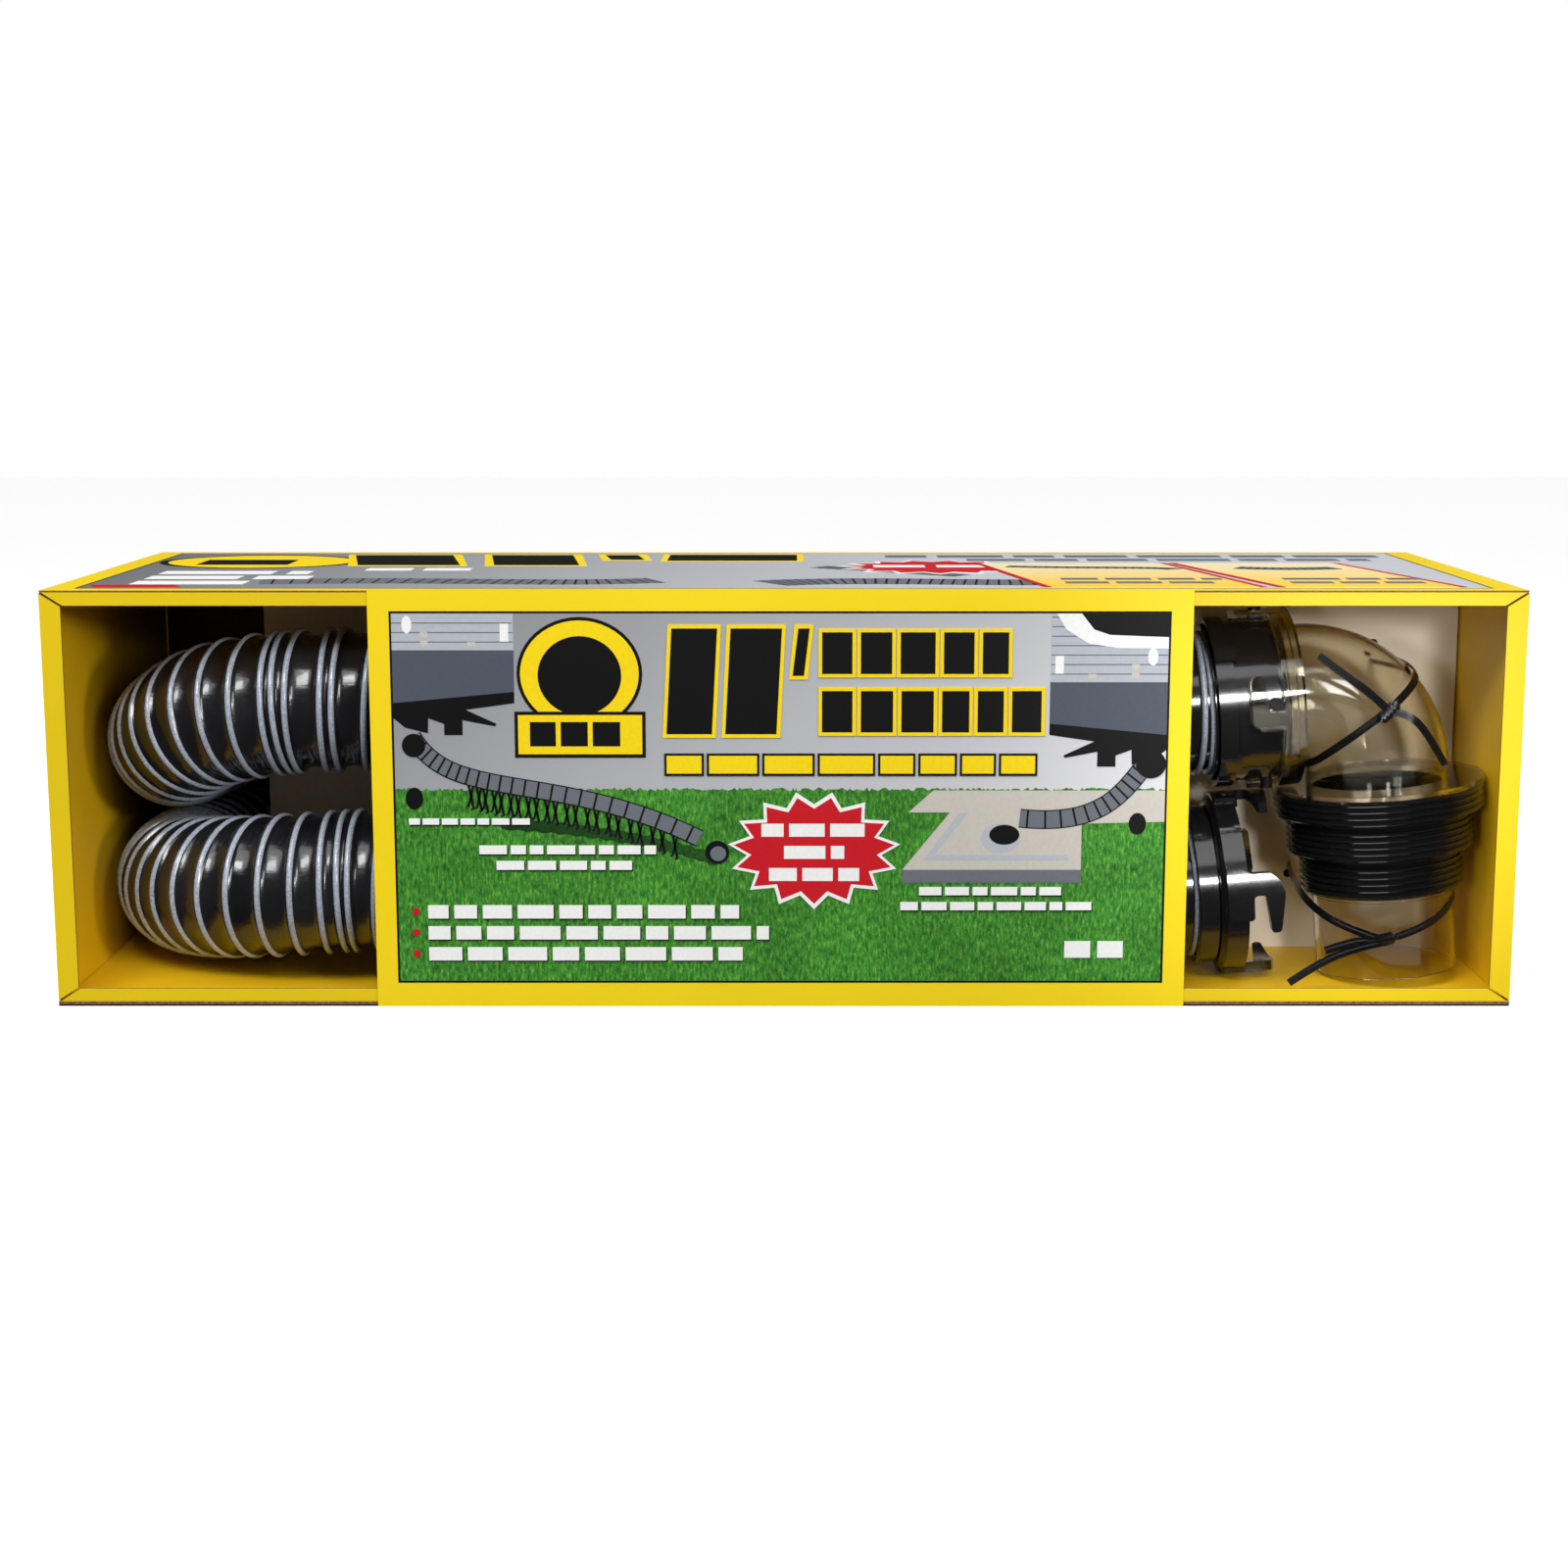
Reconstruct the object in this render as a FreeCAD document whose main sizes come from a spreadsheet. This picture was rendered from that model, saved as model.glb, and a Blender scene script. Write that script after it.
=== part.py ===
import FreeCAD, Part
import math
import os

import Sketcher

# A boxed sewer hose kit. A windowed carton holds two ribbed hoses, each folded once round an
# upright divider, and a clear 90 degree adapter with a stepped thread on the end of the upper one.
# Millimetres. X runs along the carton, Y from its front to its back, Z up; the origin is in the
# middle of the carton's underside.
#
# Each hose fitting is drawn in its own frame, with the end face of the hose at the origin and the
# fitting growing along +X. The legs of the elbow are drawn the same way from the point where their
# centre lines cross.

DIMENSIONS = [
    # carton
    ("carton_width", 780.0, "outside width of the carton"),
    ("carton_depth", 264.0, "outside depth, front panel included"),
    ("tray_height", 221.9, "height of the tray between base sheet and lid"),
    ("board", 1.5, "thickness of the carton board"),
    ("base_board", 1.2, "thickness of the printed sheet under the tray"),
    ("crease_gap", 0.3, "gap beside a panel that swings"),
    ("lip_height", 7.0, "height of the folded lips above and below the window"),
    ("post_width", 11.0, "width of the folded posts beside the window"),
    ("mitre_gap", 1.2, "gap between a lip and a post at their mitre"),
    ("panel_width", 432.8, "width of the printed front panel"),
    ("panel_offset", -1.8, "middle of the front panel from the middle of the carton"),
    ("divider_thickness", 2.0, "thickness of the divider"),
    ("divider_face", -4.2, "Y of the divider's front face"),
    ("divider_left", -299.0, "X of the divider's free end"),
    ("divider_gap", 2.5, "gap between the divider and the right end panel"),
    ("tie_hole_radius", 2.5, "radius of the tie holes in the divider"),
    # hoses
    ("hose_radius", 40.0, "outside radius over the helical bead"),
    ("hose_wall", 2.0, "wall of the plain tube that stands for film and bead"),
    ("front_y", -67.5, "Y of the fittings in the front of the carton"),
    ("back_y", 64.0, "Y of the fittings behind the divider"),
    ("upper_front_x", 231.0, "X of the upper hose's front end"),
    ("upper_front_z", 156.062, "height of the upper hose's front end"),
    ("upper_back_z", 161.0, "height of the upper hose's back end"),
    ("lower_front_x", 225.3, "X of the lower hose's front end"),
    ("lower_front_z", 53.4, "height of the lower hose's front end"),
    ("lower_back_z", 56.7, "height of the lower hose's back end"),
    ("back_x", 225.0, "X of both hoses' back ends"),
    ("front_tilt", 5.0, "degrees that the upper front fitting and the elbow lean"),
    ("lower_tilt", 4.5, "degrees that the lower front fitting leans"),
    # hose fittings
    ("barb_length", 28.0, "length of the cuff's sleeve inside the hose"),
    ("barb_radius", 37.6, "outside radius of that sleeve"),
    ("bore_radius", 35.5, "bore through a cuff"),
    ("cuff_radius", 43.5, "outside radius of a cuff's shoulder"),
    ("lug_shoulder", 1.8, "length of the shoulder on a lug fitting"),
    ("hook_shoulder", 11.5, "length of the shoulder on a hook fitting"),
    ("journal_radius", 39.5, "radius of the journal that a collar turns on"),
    ("swivel_gap", 0.3, "running gap between a collar and its cuff"),
    ("lug_journal", 23.5, "length of the journal on a lug fitting"),
    ("hook_journal", 8.5, "length of the journal on a hook fitting"),
    ("nose_radius", 38.0, "radius of the nose that carries the retainer"),
    ("nose_length", 3.4, "length of that nose"),
    ("retainer_radius", 41.4, "outside radius of the retainer"),
    ("retainer_width", 2.6, "width of the retainer"),
    ("mouth_radius", 42.0, "radius of a collar's mouth, round the retainer and the gasket"),
    ("gasket_bore", 38.2, "bore of the mouth gasket"),
    ("gasket_proud", 1.5, "how far a gasket stands out of its collar"),
    # lug collar
    ("lug_band_radius", 47.0, "radius of the grip band on a lug collar"),
    ("lug_band_length", 9.4, "length of the grip band"),
    ("barrel_radius", 44.0, "radius of the barrel that carries the lugs"),
    ("lug_collar_end", 38.2, "end of the lug collar from the hose end"),
    ("lug_station", 32.0, "distance of the lugs from the hose end"),
    ("lug_radius", 3.6, "radius of a lug"),
    ("lug_reach", 50.3, "how far a lug reaches from the collar's axis"),
    ("lug_turn", 3.2, "degrees that the lugs are turned up from level"),
    ("ramp_reach", 44.9, "outside radius of the ramps between the lugs"),
    ("ramp_start", 11.0, "start of the ramps from the hose end"),
    ("ramp_end", 30.6, "end of the ramps"),
    ("ramp_low", 10.5, "lower edge of a ramp, above its lug"),
    ("ramp_high", 26.4, "upper edge of a ramp"),
    ("grip_reach", 48.6, "outside radius of the grip blocks"),
    ("grip_width", 9.0, "width of a grip block round the band"),
    ("grip_length", 11.5, "length of a grip block"),
    ("grip_angle", 39.5, "degrees from level to the grip blocks"),
    # hook collar
    ("hook_band_radius", 49.0, "radius of the hook collar's flange"),
    ("hook_rim_radius", 45.0, "radius of the hook collar behind its flange"),
    ("hook_rim_length", 2.6, "length of the part behind the flange"),
    ("hook_band_end", 26.0, "end of the hook collar's flange from the hose end"),
    ("hook_inner_radius", 45.6, "inside radius of the hooks"),
    ("hook_outer_radius", 51.0, "outside radius of the hooks"),
    # elbow
    ("elbow_station", 93.9, "crossing of the elbow's legs from the hose end"),
    ("elbow_radius", 39.0, "outside radius of the elbow's level leg"),
    ("spigot_radius", 38.65, "outside radius of the elbow's upright leg, a nominal 3 inch spigot"),
    ("elbow_wall", 2.4, "wall of the elbow"),
    ("bend_radius", 42.0, "bend radius of the elbow's centre line"),
    ("spigot_length", 156.3, "length of the upright leg from the crossing"),
    ("end_flange_station", 40.7, "start of the flange on the level leg, from the hose end"),
    ("end_flange_width", 3.6, "width of that flange"),
    ("end_flange_radius", 44.7, "radius of that flange"),
    ("collar_flange_station", 50.5, "start of the flange above the thread, from the crossing"),
    ("collar_flange_width", 2.7, "width of that flange"),
    ("collar_flange_radius", 57.5, "radius of that flange"),
    ("bead_station", 111.4, "start of the bead below the thread, from the crossing"),
    ("bead_width", 1.6, "width of that bead"),
    ("bead_radius", 39.9, "radius of that bead"),
    # clear bayonet ring
    ("ring_start", 36.4, "start of the bayonet ring's band from the hose end"),
    ("ring_end", 47.8, "end of the bayonet ring's band"),
    ("ring_inner_radius", 45.1, "inside radius of the bayonet ring"),
    ("ring_outer_radius", 49.2, "outside radius of the bayonet ring"),
    ("ring_lip_bore", 39.3, "bore of the lip that holds the ring on the elbow"),
    # stepped thread
    ("thread_bore", 39.05, "bore of the thread adapter, a running fit on the spigot"),
    ("thread_start", 53.5, "start of the thread adapter from the crossing"),
    ("thread_step_one", 67.5, "end of the 4 inch thread"),
    ("thread_step_two", 88.5, "end of the 3 1/2 inch thread"),
    ("thread_end", 110.5, "end of the 3 inch thread"),
    ("thread_radius_one", 57.15, "radius of the 4 inch pipe thread"),
    ("thread_radius_two", 50.8, "radius of the 3 1/2 inch pipe thread"),
    ("thread_radius_three", 44.45, "radius of the 3 inch pipe thread"),
    ("thread_depth", 1.3, "depth of the thread"),
    # twist ties
    ("tie_radius", 1.1, "radius of a twist tie"),
    ("tie_clearance", 0.3, "gap between a tie and the pipe that it goes round"),
    ("elbow_tie_gap", 3.4, "gap between the elbow tie's ends and the divider, for the swing"),
    ("spigot_tie_gap", 0.6, "gap between the spigot tie's ends and the divider"),
    ("spigot_tie_station", 114.5, "height of the spigot tie's legs, from the crossing"),
    ("spigot_tie_drop", 20.0, "how much lower the spigot tie hangs in front"),
]

LUGS = 4
HOOKS = 4
THREAD_RIDGES = (4, 6, 6)
TIE_SIDES = 6

# The centre lines of the hoses, from the front end round the divider to the back end. Each point
# is a corner that an arc rounds off.
UPPER_BEND = [
    (45.0, -70.5, 147.5),
    (-85.0, -75.0, 154.0),
    (-205.0, -79.5, 161.0),
    (-305.0, -80.5, 156.5),
    (-347.5, -38.0, 130.0),
    (-347.5, 34.0, 124.5),
    (-300.0, 80.5, 139.0),
    (-205.0, 79.0, 154.0),
    (-85.0, 74.5, 158.5),
    (40.0, 68.5, 157.0),
]
LOWER_BEND = [
    (35.0, -71.0, 51.0),
    (-95.0, -75.5, 57.0),
    (-212.0, -80.0, 60.5),
    (-300.0, -80.5, 54.0),
    (-347.0, -33.5, 46.5),
    (-347.0, 34.0, 44.5),
    (-300.0, 80.5, 46.5),
    (-208.0, 79.5, 52.0),
    (-90.0, 75.0, 54.5),
    (38.0, 68.0, 56.2),
]
STRAIGHT_END = 70.0

doc = FreeCAD.newDocument("sewer_hose_kit")
sheet = doc.addObject("Spreadsheet::Sheet", "Dims")
parts = []


def fill_sheet():
    """Put every driving dimension in a cell with an alias."""
    for row, (alias, number, meaning) in enumerate(DIMENSIONS, start=1):
        sheet.set(f"A{row}", meaning)
        sheet.set(f"B{row}", str(number))
        sheet.setAlias(f"B{row}", alias)
    doc.recompute()


def size(alias):
    """A driving dimension as a number."""
    return float(sheet.get(alias))


def bind(obj, **expressions):
    """Bind an object's properties to expressions; dots in a property are written as __."""
    for name, expression in expressions.items():
        obj.setExpression(name.replace("__", "."), expression)


def keep(obj, node, placement=None):
    """Name a finished sub-part and put it in its place."""
    obj.Label = node
    if placement is not None:
        obj.Placement = placement
    parts.append(obj)
    return obj


# ---------------------------------------------------------------- shared shapes


def box(name, low, span):
    """A box between expressions: its low corner and its size along X, Y and Z."""
    piece = doc.addObject("Part::Box", name)
    bind(piece, Length=span[0], Width=span[1], Height=span[2])
    bind(piece, Placement__Base__x=low[0], Placement__Base__y=low[1], Placement__Base__z=low[2])
    return piece


def rod(name, radius, start, length):
    """A cylinder along +X, sized by expressions."""
    piece = doc.addObject("Part::Cylinder", name)
    piece.Placement.Rotation = FreeCAD.Rotation(FreeCAD.Vector(0, 1, 0), 90)
    bind(piece, Radius=radius, Height=length, Placement__Base__x=start)
    return piece


def spoke(name, radius, reach, station, degrees):
    """A round peg along a radius of the X axis, standing at a station on that axis."""
    piece = doc.addObject("Part::Cylinder", name)
    piece.Placement.Rotation = FreeCAD.Rotation(FreeCAD.Vector(1, 0, 0), degrees)
    bind(piece, Radius=radius, Height=reach, Placement__Base__x=station)
    return piece


def fused(name, pieces):
    """One solid made of several."""
    piece = doc.addObject("Part::MultiFuse", name)
    piece.Shapes = pieces
    return piece


def cut(name, base, tool):
    """A solid less another."""
    piece = doc.addObject("Part::Cut", name)
    piece.Base = base
    piece.Tool = tool
    return piece


def closed_sketch(body, plane_role, outline):
    """A closed outline whose corners are pairs of expressions, fully constrained."""
    sketch = body.newObject("Sketcher::SketchObject", body.Name + "_outline")
    plane = [item for item in body.Origin.OriginFeatures if item.Role == plane_role][0]
    sketch.AttachmentSupport = (plane, [""])
    sketch.MapMode = "FlatFace"
    corners = [tuple(evaluate(entry) for entry in corner) for corner in outline]
    count = len(corners)
    for index in range(count):
        here = FreeCAD.Vector(*corners[index], 0)
        there = FreeCAD.Vector(*corners[(index + 1) % count], 0)
        sketch.addGeometry(Part.LineSegment(here, there))
    for index in range(count):
        sketch.addConstraint(Sketcher.Constraint("Coincident", index, 2, (index + 1) % count, 1))
    for index, (across, up) in enumerate(outline):
        for kind, entry, start in (("DistanceX", across, 0), ("DistanceY", up, 1)):
            rule = Sketcher.Constraint(kind, -1, 1, index, 1, corners[index][start])
            number = sketch.addConstraint(rule)
            sketch.setExpression(f"Constraints[{number}]", entry)
    return sketch


def evaluate(expression):
    """The number that an expression of the sheet's aliases stands for now."""
    return float(sheet.evalExpression(expression.replace("Dims.", "")))


def turned(name, outline):
    """A ring turned about the X axis from (distance along the axis, radius) expressions."""
    body = doc.addObject("PartDesign::Body", name)
    sketch = closed_sketch(body, "XZ_Plane", outline)
    turn = body.newObject("PartDesign::Revolution", name + "_turn")
    turn.Profile = sketch
    turn.ReferenceAxis = (sketch, ["H_Axis"])
    turn.Angle = 360
    return body


def upright_plate(name, outline, thickness):
    """A flat plate in the XZ plane, as thick as the expression says, growing towards -Y."""
    body = doc.addObject("PartDesign::Body", name)
    sketch = closed_sketch(body, "XZ_Plane", outline)
    pad = body.newObject("PartDesign::Pad", name + "_pad")
    pad.Profile = sketch
    pad.setExpression("Length", thickness)
    return body


def rounded_path(corners, closed=False, corner_radius=None):
    """Straight runs joined by tangent arcs, as a wire, with the radii of its arcs."""
    points = [FreeCAD.Vector(*corner) for corner in corners]
    count = len(points)
    turning = range(count) if closed else range(1, count - 1)
    rounds = {}
    for index in turning:
        before = points[index - 1] - points[index]
        after = points[(index + 1) % count] - points[index]
        half_turn = (math.pi - before.getAngle(after)) / 2
        reach = 0.45 * min(before.Length, after.Length)
        if corner_radius is not None:
            reach = min(reach, corner_radius * math.tan(half_turn))
        before.normalize()
        after.normalize()
        radius = reach / math.tan(half_turn)
        inward = (before + after).normalize()
        to_middle = radius / math.cos(half_turn) - radius
        rounds[index] = (
            points[index] + before * reach,
            points[index] + inward * to_middle,
            points[index] + after * reach,
            radius,
        )
    edges = []
    ends = {index: (rounds[index][0], rounds[index][2]) if index in rounds
            else (points[index], points[index]) for index in range(count)}
    for index in range(count if closed else count - 1):
        if index in rounds:
            edges.append(Part.Arc(*rounds[index][:3]).toShape())
        run_start = ends[index][1]
        run_end = ends[(index + 1) % count][0]
        edges.append(Part.LineSegment(run_start, run_end).toShape())
    return Part.Wire(edges), [rounds[index][3] for index in sorted(rounds)]


def swept(path, radius):
    """A round bar along a path."""
    first = path.OrderedEdges[0]
    start = first.valueAt(first.FirstParameter)
    heading = first.tangentAt(first.FirstParameter)
    section = Part.Wire([Part.makeCircle(radius, start, heading)])
    return path.makePipeShell([section], True, False)


def feature(node, shape, placement=None):
    """A sub-part whose shape is worked out in code from the sheet's numbers."""
    piece = doc.addObject("Part::Feature", node)
    piece.Shape = shape
    return keep(piece, node, placement)


# ---------------------------------------------------------------- carton

TRAY_TOP = "Dims.base_board + Dims.tray_height"
WALL_BOTTOM = "Dims.base_board + Dims.board"
FRONT_FACE = "-Dims.carton_depth / 2"


def make_carton():
    """Tray, window frame, front panel, lid and end panels."""
    half_width = "Dims.carton_width / 2"
    back_face = "Dims.carton_depth / 2"
    wall_height = f"{TRAY_TOP} - Dims.crease_gap - ({WALL_BOTTOM})"
    tray_front = f"{FRONT_FACE} + Dims.board"

    keep(box("base_sheet_board", (f"-{half_width}", f"{tray_front}", "0"),
             ("Dims.carton_width", "Dims.carton_depth - Dims.board", "Dims.base_board")),
         "base_sheet")
    keep(box("tray_floor_board", (f"-{half_width}", tray_front, "Dims.base_board"),
             ("Dims.carton_width", "Dims.carton_depth - Dims.board", "Dims.board")),
         "tray_floor")
    keep(box("tray_back_board",
             (f"-{half_width} + Dims.board + Dims.crease_gap", f"{back_face} - Dims.board",
              WALL_BOTTOM),
             ("Dims.carton_width - 2 * Dims.board - 2 * Dims.crease_gap", "Dims.board",
              wall_height)),
         "tray_back")
    keep(box("lid_board", (f"-{half_width}", f"{tray_front} + Dims.crease_gap", TRAY_TOP),
             ("Dims.carton_width", "Dims.carton_depth - Dims.board - Dims.crease_gap",
              "Dims.board")),
         "lid")
    for node, low_x in (("left_end", f"-{half_width}"), ("right_end", f"{half_width} - Dims.board")):
        keep(box(node + "_board",
                 (low_x, f"{tray_front} + Dims.board + Dims.crease_gap",
                  f"{WALL_BOTTOM} + Dims.crease_gap"),
                 ("Dims.board", "Dims.carton_depth - 2 * Dims.board - Dims.crease_gap",
                  f"{wall_height} - Dims.crease_gap")),
             node)
    keep(box("front_panel_board",
             ("Dims.panel_offset - Dims.panel_width / 2", FRONT_FACE, "0"),
             ("Dims.panel_width", "Dims.board", f"{TRAY_TOP} + Dims.board")),
         "front_panel")
    make_window_frame(half_width)


def make_window_frame(half_width):
    """Two lips and two posts with mitred ends round the open front."""
    low = WALL_BOTTOM
    high = f"{TRAY_TOP} - Dims.crease_gap"
    sill = f"{low} + Dims.lip_height"
    header = f"{high} - Dims.lip_height"
    inner = f"{half_width} - Dims.post_width"
    placement = FreeCAD.Placement()
    placement.Base.y = -size("carton_depth") / 2 + 2 * size("board")
    lips = (("bottom_lip", low, sill), ("top_lip", high, header))
    for node, outer_edge, inner_edge in lips:
        outline = [(f"-({half_width}) + Dims.mitre_gap", outer_edge),
                   (f"{half_width} - Dims.mitre_gap", outer_edge),
                   (f"{inner} - Dims.mitre_gap", inner_edge),
                   (f"-({inner}) + Dims.mitre_gap", inner_edge)]
        keep(upright_plate(node + "_board", outline, "Dims.board"), node, placement)
    for node, side in (("left_post", "-1"), ("right_post", "1")):
        outline = [(f"{side} * ({half_width})", f"{low} + Dims.mitre_gap / 2"),
                   (f"{side} * ({half_width})", f"{high} - Dims.mitre_gap / 2"),
                   (f"{side} * ({inner})", f"{header} - Dims.mitre_gap / 2"),
                   (f"{side} * ({inner})", f"{sill} + Dims.mitre_gap / 2")]
        keep(upright_plate(node + "_board", outline, "Dims.board"), node, placement)


def make_divider():
    """The board between the front and the back runs, with a hole for each tie's end."""
    board = box("divider_board", ("Dims.divider_left", "Dims.divider_face", WALL_BOTTOM),
                ("Dims.carton_width / 2 - Dims.divider_gap - Dims.divider_left",
                 "Dims.divider_thickness", f"{TRAY_TOP} - ({WALL_BOTTOM}) - 1"))
    holes = []
    for index, end in enumerate(tie_ends()):
        hole = doc.addObject("Part::Cylinder", f"tie_hole_{index}")
        hole.Placement.Rotation = FreeCAD.Rotation(FreeCAD.Vector(1, 0, 0), -90)
        hole.Placement.Base.x = end.x
        hole.Placement.Base.z = end.z
        bind(hole, Radius="Dims.tie_hole_radius", Height="3 * Dims.divider_thickness",
             Placement__Base__y="Dims.divider_face - Dims.divider_thickness")
        holes.append(hole)
    keep(cut("divider_punched", board, fused("tie_holes", holes)), "divider")


# ---------------------------------------------------------------- places of the fittings


def fitting_place(x, y, z, lean):
    """The frame of a hose end: +X out of the hose, leaning up by some degrees."""
    turn = FreeCAD.Rotation(FreeCAD.Vector(0, 1, 0), -lean)
    return FreeCAD.Placement(FreeCAD.Vector(x, y, z), turn)


def upper_front_place():
    return fitting_place(size("upper_front_x"), size("front_y"), size("upper_front_z"),
                         size("front_tilt"))


def lower_front_place():
    return fitting_place(size("lower_front_x"), size("front_y"), size("lower_front_z"),
                         size("lower_tilt"))


def upper_back_place():
    return fitting_place(size("back_x"), size("back_y"), size("upper_back_z"), 0)


def lower_back_place():
    return fitting_place(size("back_x"), size("back_y"), size("lower_back_z"), 0)


def leg_place():
    """The frame of the elbow's upright leg: +X down the leg from the crossing."""
    crossing = upper_front_place().multVec(FreeCAD.Vector(size("elbow_station"), 0, 0))
    turn = FreeCAD.Rotation(FreeCAD.Vector(0, 1, 0), 90 - size("front_tilt"))
    return FreeCAD.Placement(crossing, turn)


# ---------------------------------------------------------------- hose fittings


def make_cuff(node, kind, place):
    """The fixed cuff: a sleeve in the hose, a smooth shoulder and the journal."""
    shoulder = f"Dims.{kind}_shoulder"
    journal_end = f"({shoulder} + Dims.{kind}_journal)"
    nose_end = f"({journal_end} + Dims.nose_length)"
    outline = [("-Dims.barb_length", "Dims.bore_radius"),
               ("-Dims.barb_length", "Dims.barb_radius - 1"),
               ("-Dims.barb_length + 4", "Dims.barb_radius"),
               ("0", "Dims.barb_radius"),
               ("0", "Dims.cuff_radius - 0.7"),
               ("0.7", "Dims.cuff_radius"),
               (f"{shoulder} - 0.7", "Dims.cuff_radius"),
               (shoulder, "Dims.cuff_radius - 0.7"),
               (shoulder, "Dims.journal_radius"),
               (journal_end, "Dims.journal_radius"),
               (journal_end, "Dims.nose_radius"),
               (nose_end, "Dims.nose_radius"),
               (nose_end, "Dims.bore_radius")]
    keep(turned(node + "_cuff_body", outline), node + "_cuff", place)


def make_retainer(node, kind, place):
    """The ring that snaps on the cuff's nose and holds the collar."""
    start = f"(Dims.{kind}_shoulder + Dims.{kind}_journal)"
    end = f"({start} + Dims.retainer_width)"
    outline = [(start, "Dims.nose_radius"),
               (start, "Dims.retainer_radius"),
               (f"{end} - 1", "Dims.retainer_radius"),
               (end, "Dims.retainer_radius - 1"),
               (end, "Dims.nose_radius")]
    keep(turned(node + "_retainer_body", outline), node + "_retainer", place)


def make_gasket(node, collar_end, place):
    """The soft ring in a collar's mouth, with two lips."""
    inside = f"({collar_end} - 2.6)"
    outside = f"({collar_end} + Dims.gasket_proud)"
    outline = [(inside, "Dims.gasket_bore"),
               (inside, "Dims.mouth_radius"),
               (collar_end, "Dims.mouth_radius"),
               (outside, "Dims.mouth_radius - 0.8"),
               (outside, "Dims.mouth_radius - 1.4"),
               (f"{outside} - 1", "(Dims.mouth_radius + Dims.gasket_bore) / 2"),
               (outside, "Dims.gasket_bore + 1.2"),
               (outside, "Dims.gasket_bore + 0.4")]
    keep(turned(node + "_gasket_body", outline), node + "_gasket", place)


def collar_bores(node, kind, collar_end):
    """The hollow of a swivel collar: a bore on the journal and a wider mouth."""
    mouth_start = f"(Dims.{kind}_shoulder + Dims.{kind}_journal - Dims.swivel_gap)"
    journal_bore = rod(node + "_journal_bore", "Dims.journal_radius + Dims.swivel_gap",
                       "0", collar_end)
    mouth = rod(node + "_mouth_bore", "Dims.mouth_radius", mouth_start,
                f"{collar_end} - {mouth_start} + 1")
    return fused(node + "_bores", [journal_bore, mouth])


def make_lug_collar(node, place):
    """A collar with a grip band, a barrel, four round lugs and a ramp above each."""
    start = "(Dims.lug_shoulder + Dims.swivel_gap)"
    band = rod(node + "_band", "Dims.lug_band_radius", start, "Dims.lug_band_length")
    barrel = rod(node + "_barrel", "Dims.barrel_radius", start,
                 f"Dims.lug_collar_end - {start}")
    mouth_rim = rod(node + "_mouth_rim", "Dims.barrel_radius - 0.6",
                    "Dims.lug_collar_end - 1", "1.6")
    pieces = [band, barrel, mouth_rim]
    ramp_outline = [("ramp_start", "ramp_low"), ("ramp_end", "ramp_low"),
                    ("ramp_end", "ramp_high"), ("ramp_start", "ramp_high")]
    ramp_outline = [(size(along), size(around)) for along, around in ramp_outline]
    for lug in range(LUGS):
        degrees = 360 * lug / LUGS - size("lug_turn")
        pieces.append(spoke(f"{node}_lug_{lug}", "Dims.lug_radius", "Dims.lug_reach",
                            "Dims.lug_station", degrees))
        ramp = doc.addObject("Part::Feature", f"{node}_ramp_{lug}")
        ramp.Shape = hook_plate(ramp_outline, size("barrel_radius") - 1, size("ramp_reach"),
                                degrees)
        pieces.append(ramp)
    for grip_index, degrees in enumerate((90 - size("grip_angle"), 90 + size("grip_angle"),
                                          270 - size("grip_angle"), 270 + size("grip_angle"))):
        grip = doc.addObject("Part::Box", f"{node}_grip_{grip_index}")
        turn = FreeCAD.Rotation(FreeCAD.Vector(1, 0, 0), degrees)
        grip.Placement.Rotation = turn
        grip.Placement.Base = turn.multVec(FreeCAD.Vector(0, -size("grip_width") / 2, 0))
        bind(grip, Length="Dims.grip_length", Width="Dims.grip_width",
             Height="Dims.grip_reach", Placement__Base__x=start)
        pieces.append(grip)
    outside = fused(node + "_collar_outside", pieces)
    hollow = collar_bores(node, "lug", "(Dims.lug_collar_end + 1)")
    keep(cut(node + "_collar_body", outside, hollow), node + "_collar", place)
    make_gasket(node, "Dims.lug_collar_end", place)


def hook_plate(outline, inner_radius, outer_radius, degrees):
    """A plate with a rounded outline of (distance along X, distance round the ring)."""
    corners = [(along, around, 0.0) for along, around in outline]
    wire = rounded_path(corners, closed=True, corner_radius=2.2)[0]
    wire.translate(FreeCAD.Vector(0, 0, 0.6 * inner_radius))
    block = Part.Face(wire).extrude(FreeCAD.Vector(0, 0, outer_radius))
    along = FreeCAD.Vector(1, 0, 0)
    low = min(point[0] for point in outline) - 1
    length = max(point[0] for point in outline) + 1 - low
    start = FreeCAD.Vector(low, 0, 0)
    shell = Part.makeCylinder(outer_radius, length, start, along)
    shell = shell.cut(Part.makeCylinder(inner_radius, length, start, along))
    plate = block.common(shell)
    plate.rotate(FreeCAD.Vector(0, 0, 0), along, degrees)
    return plate


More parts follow.
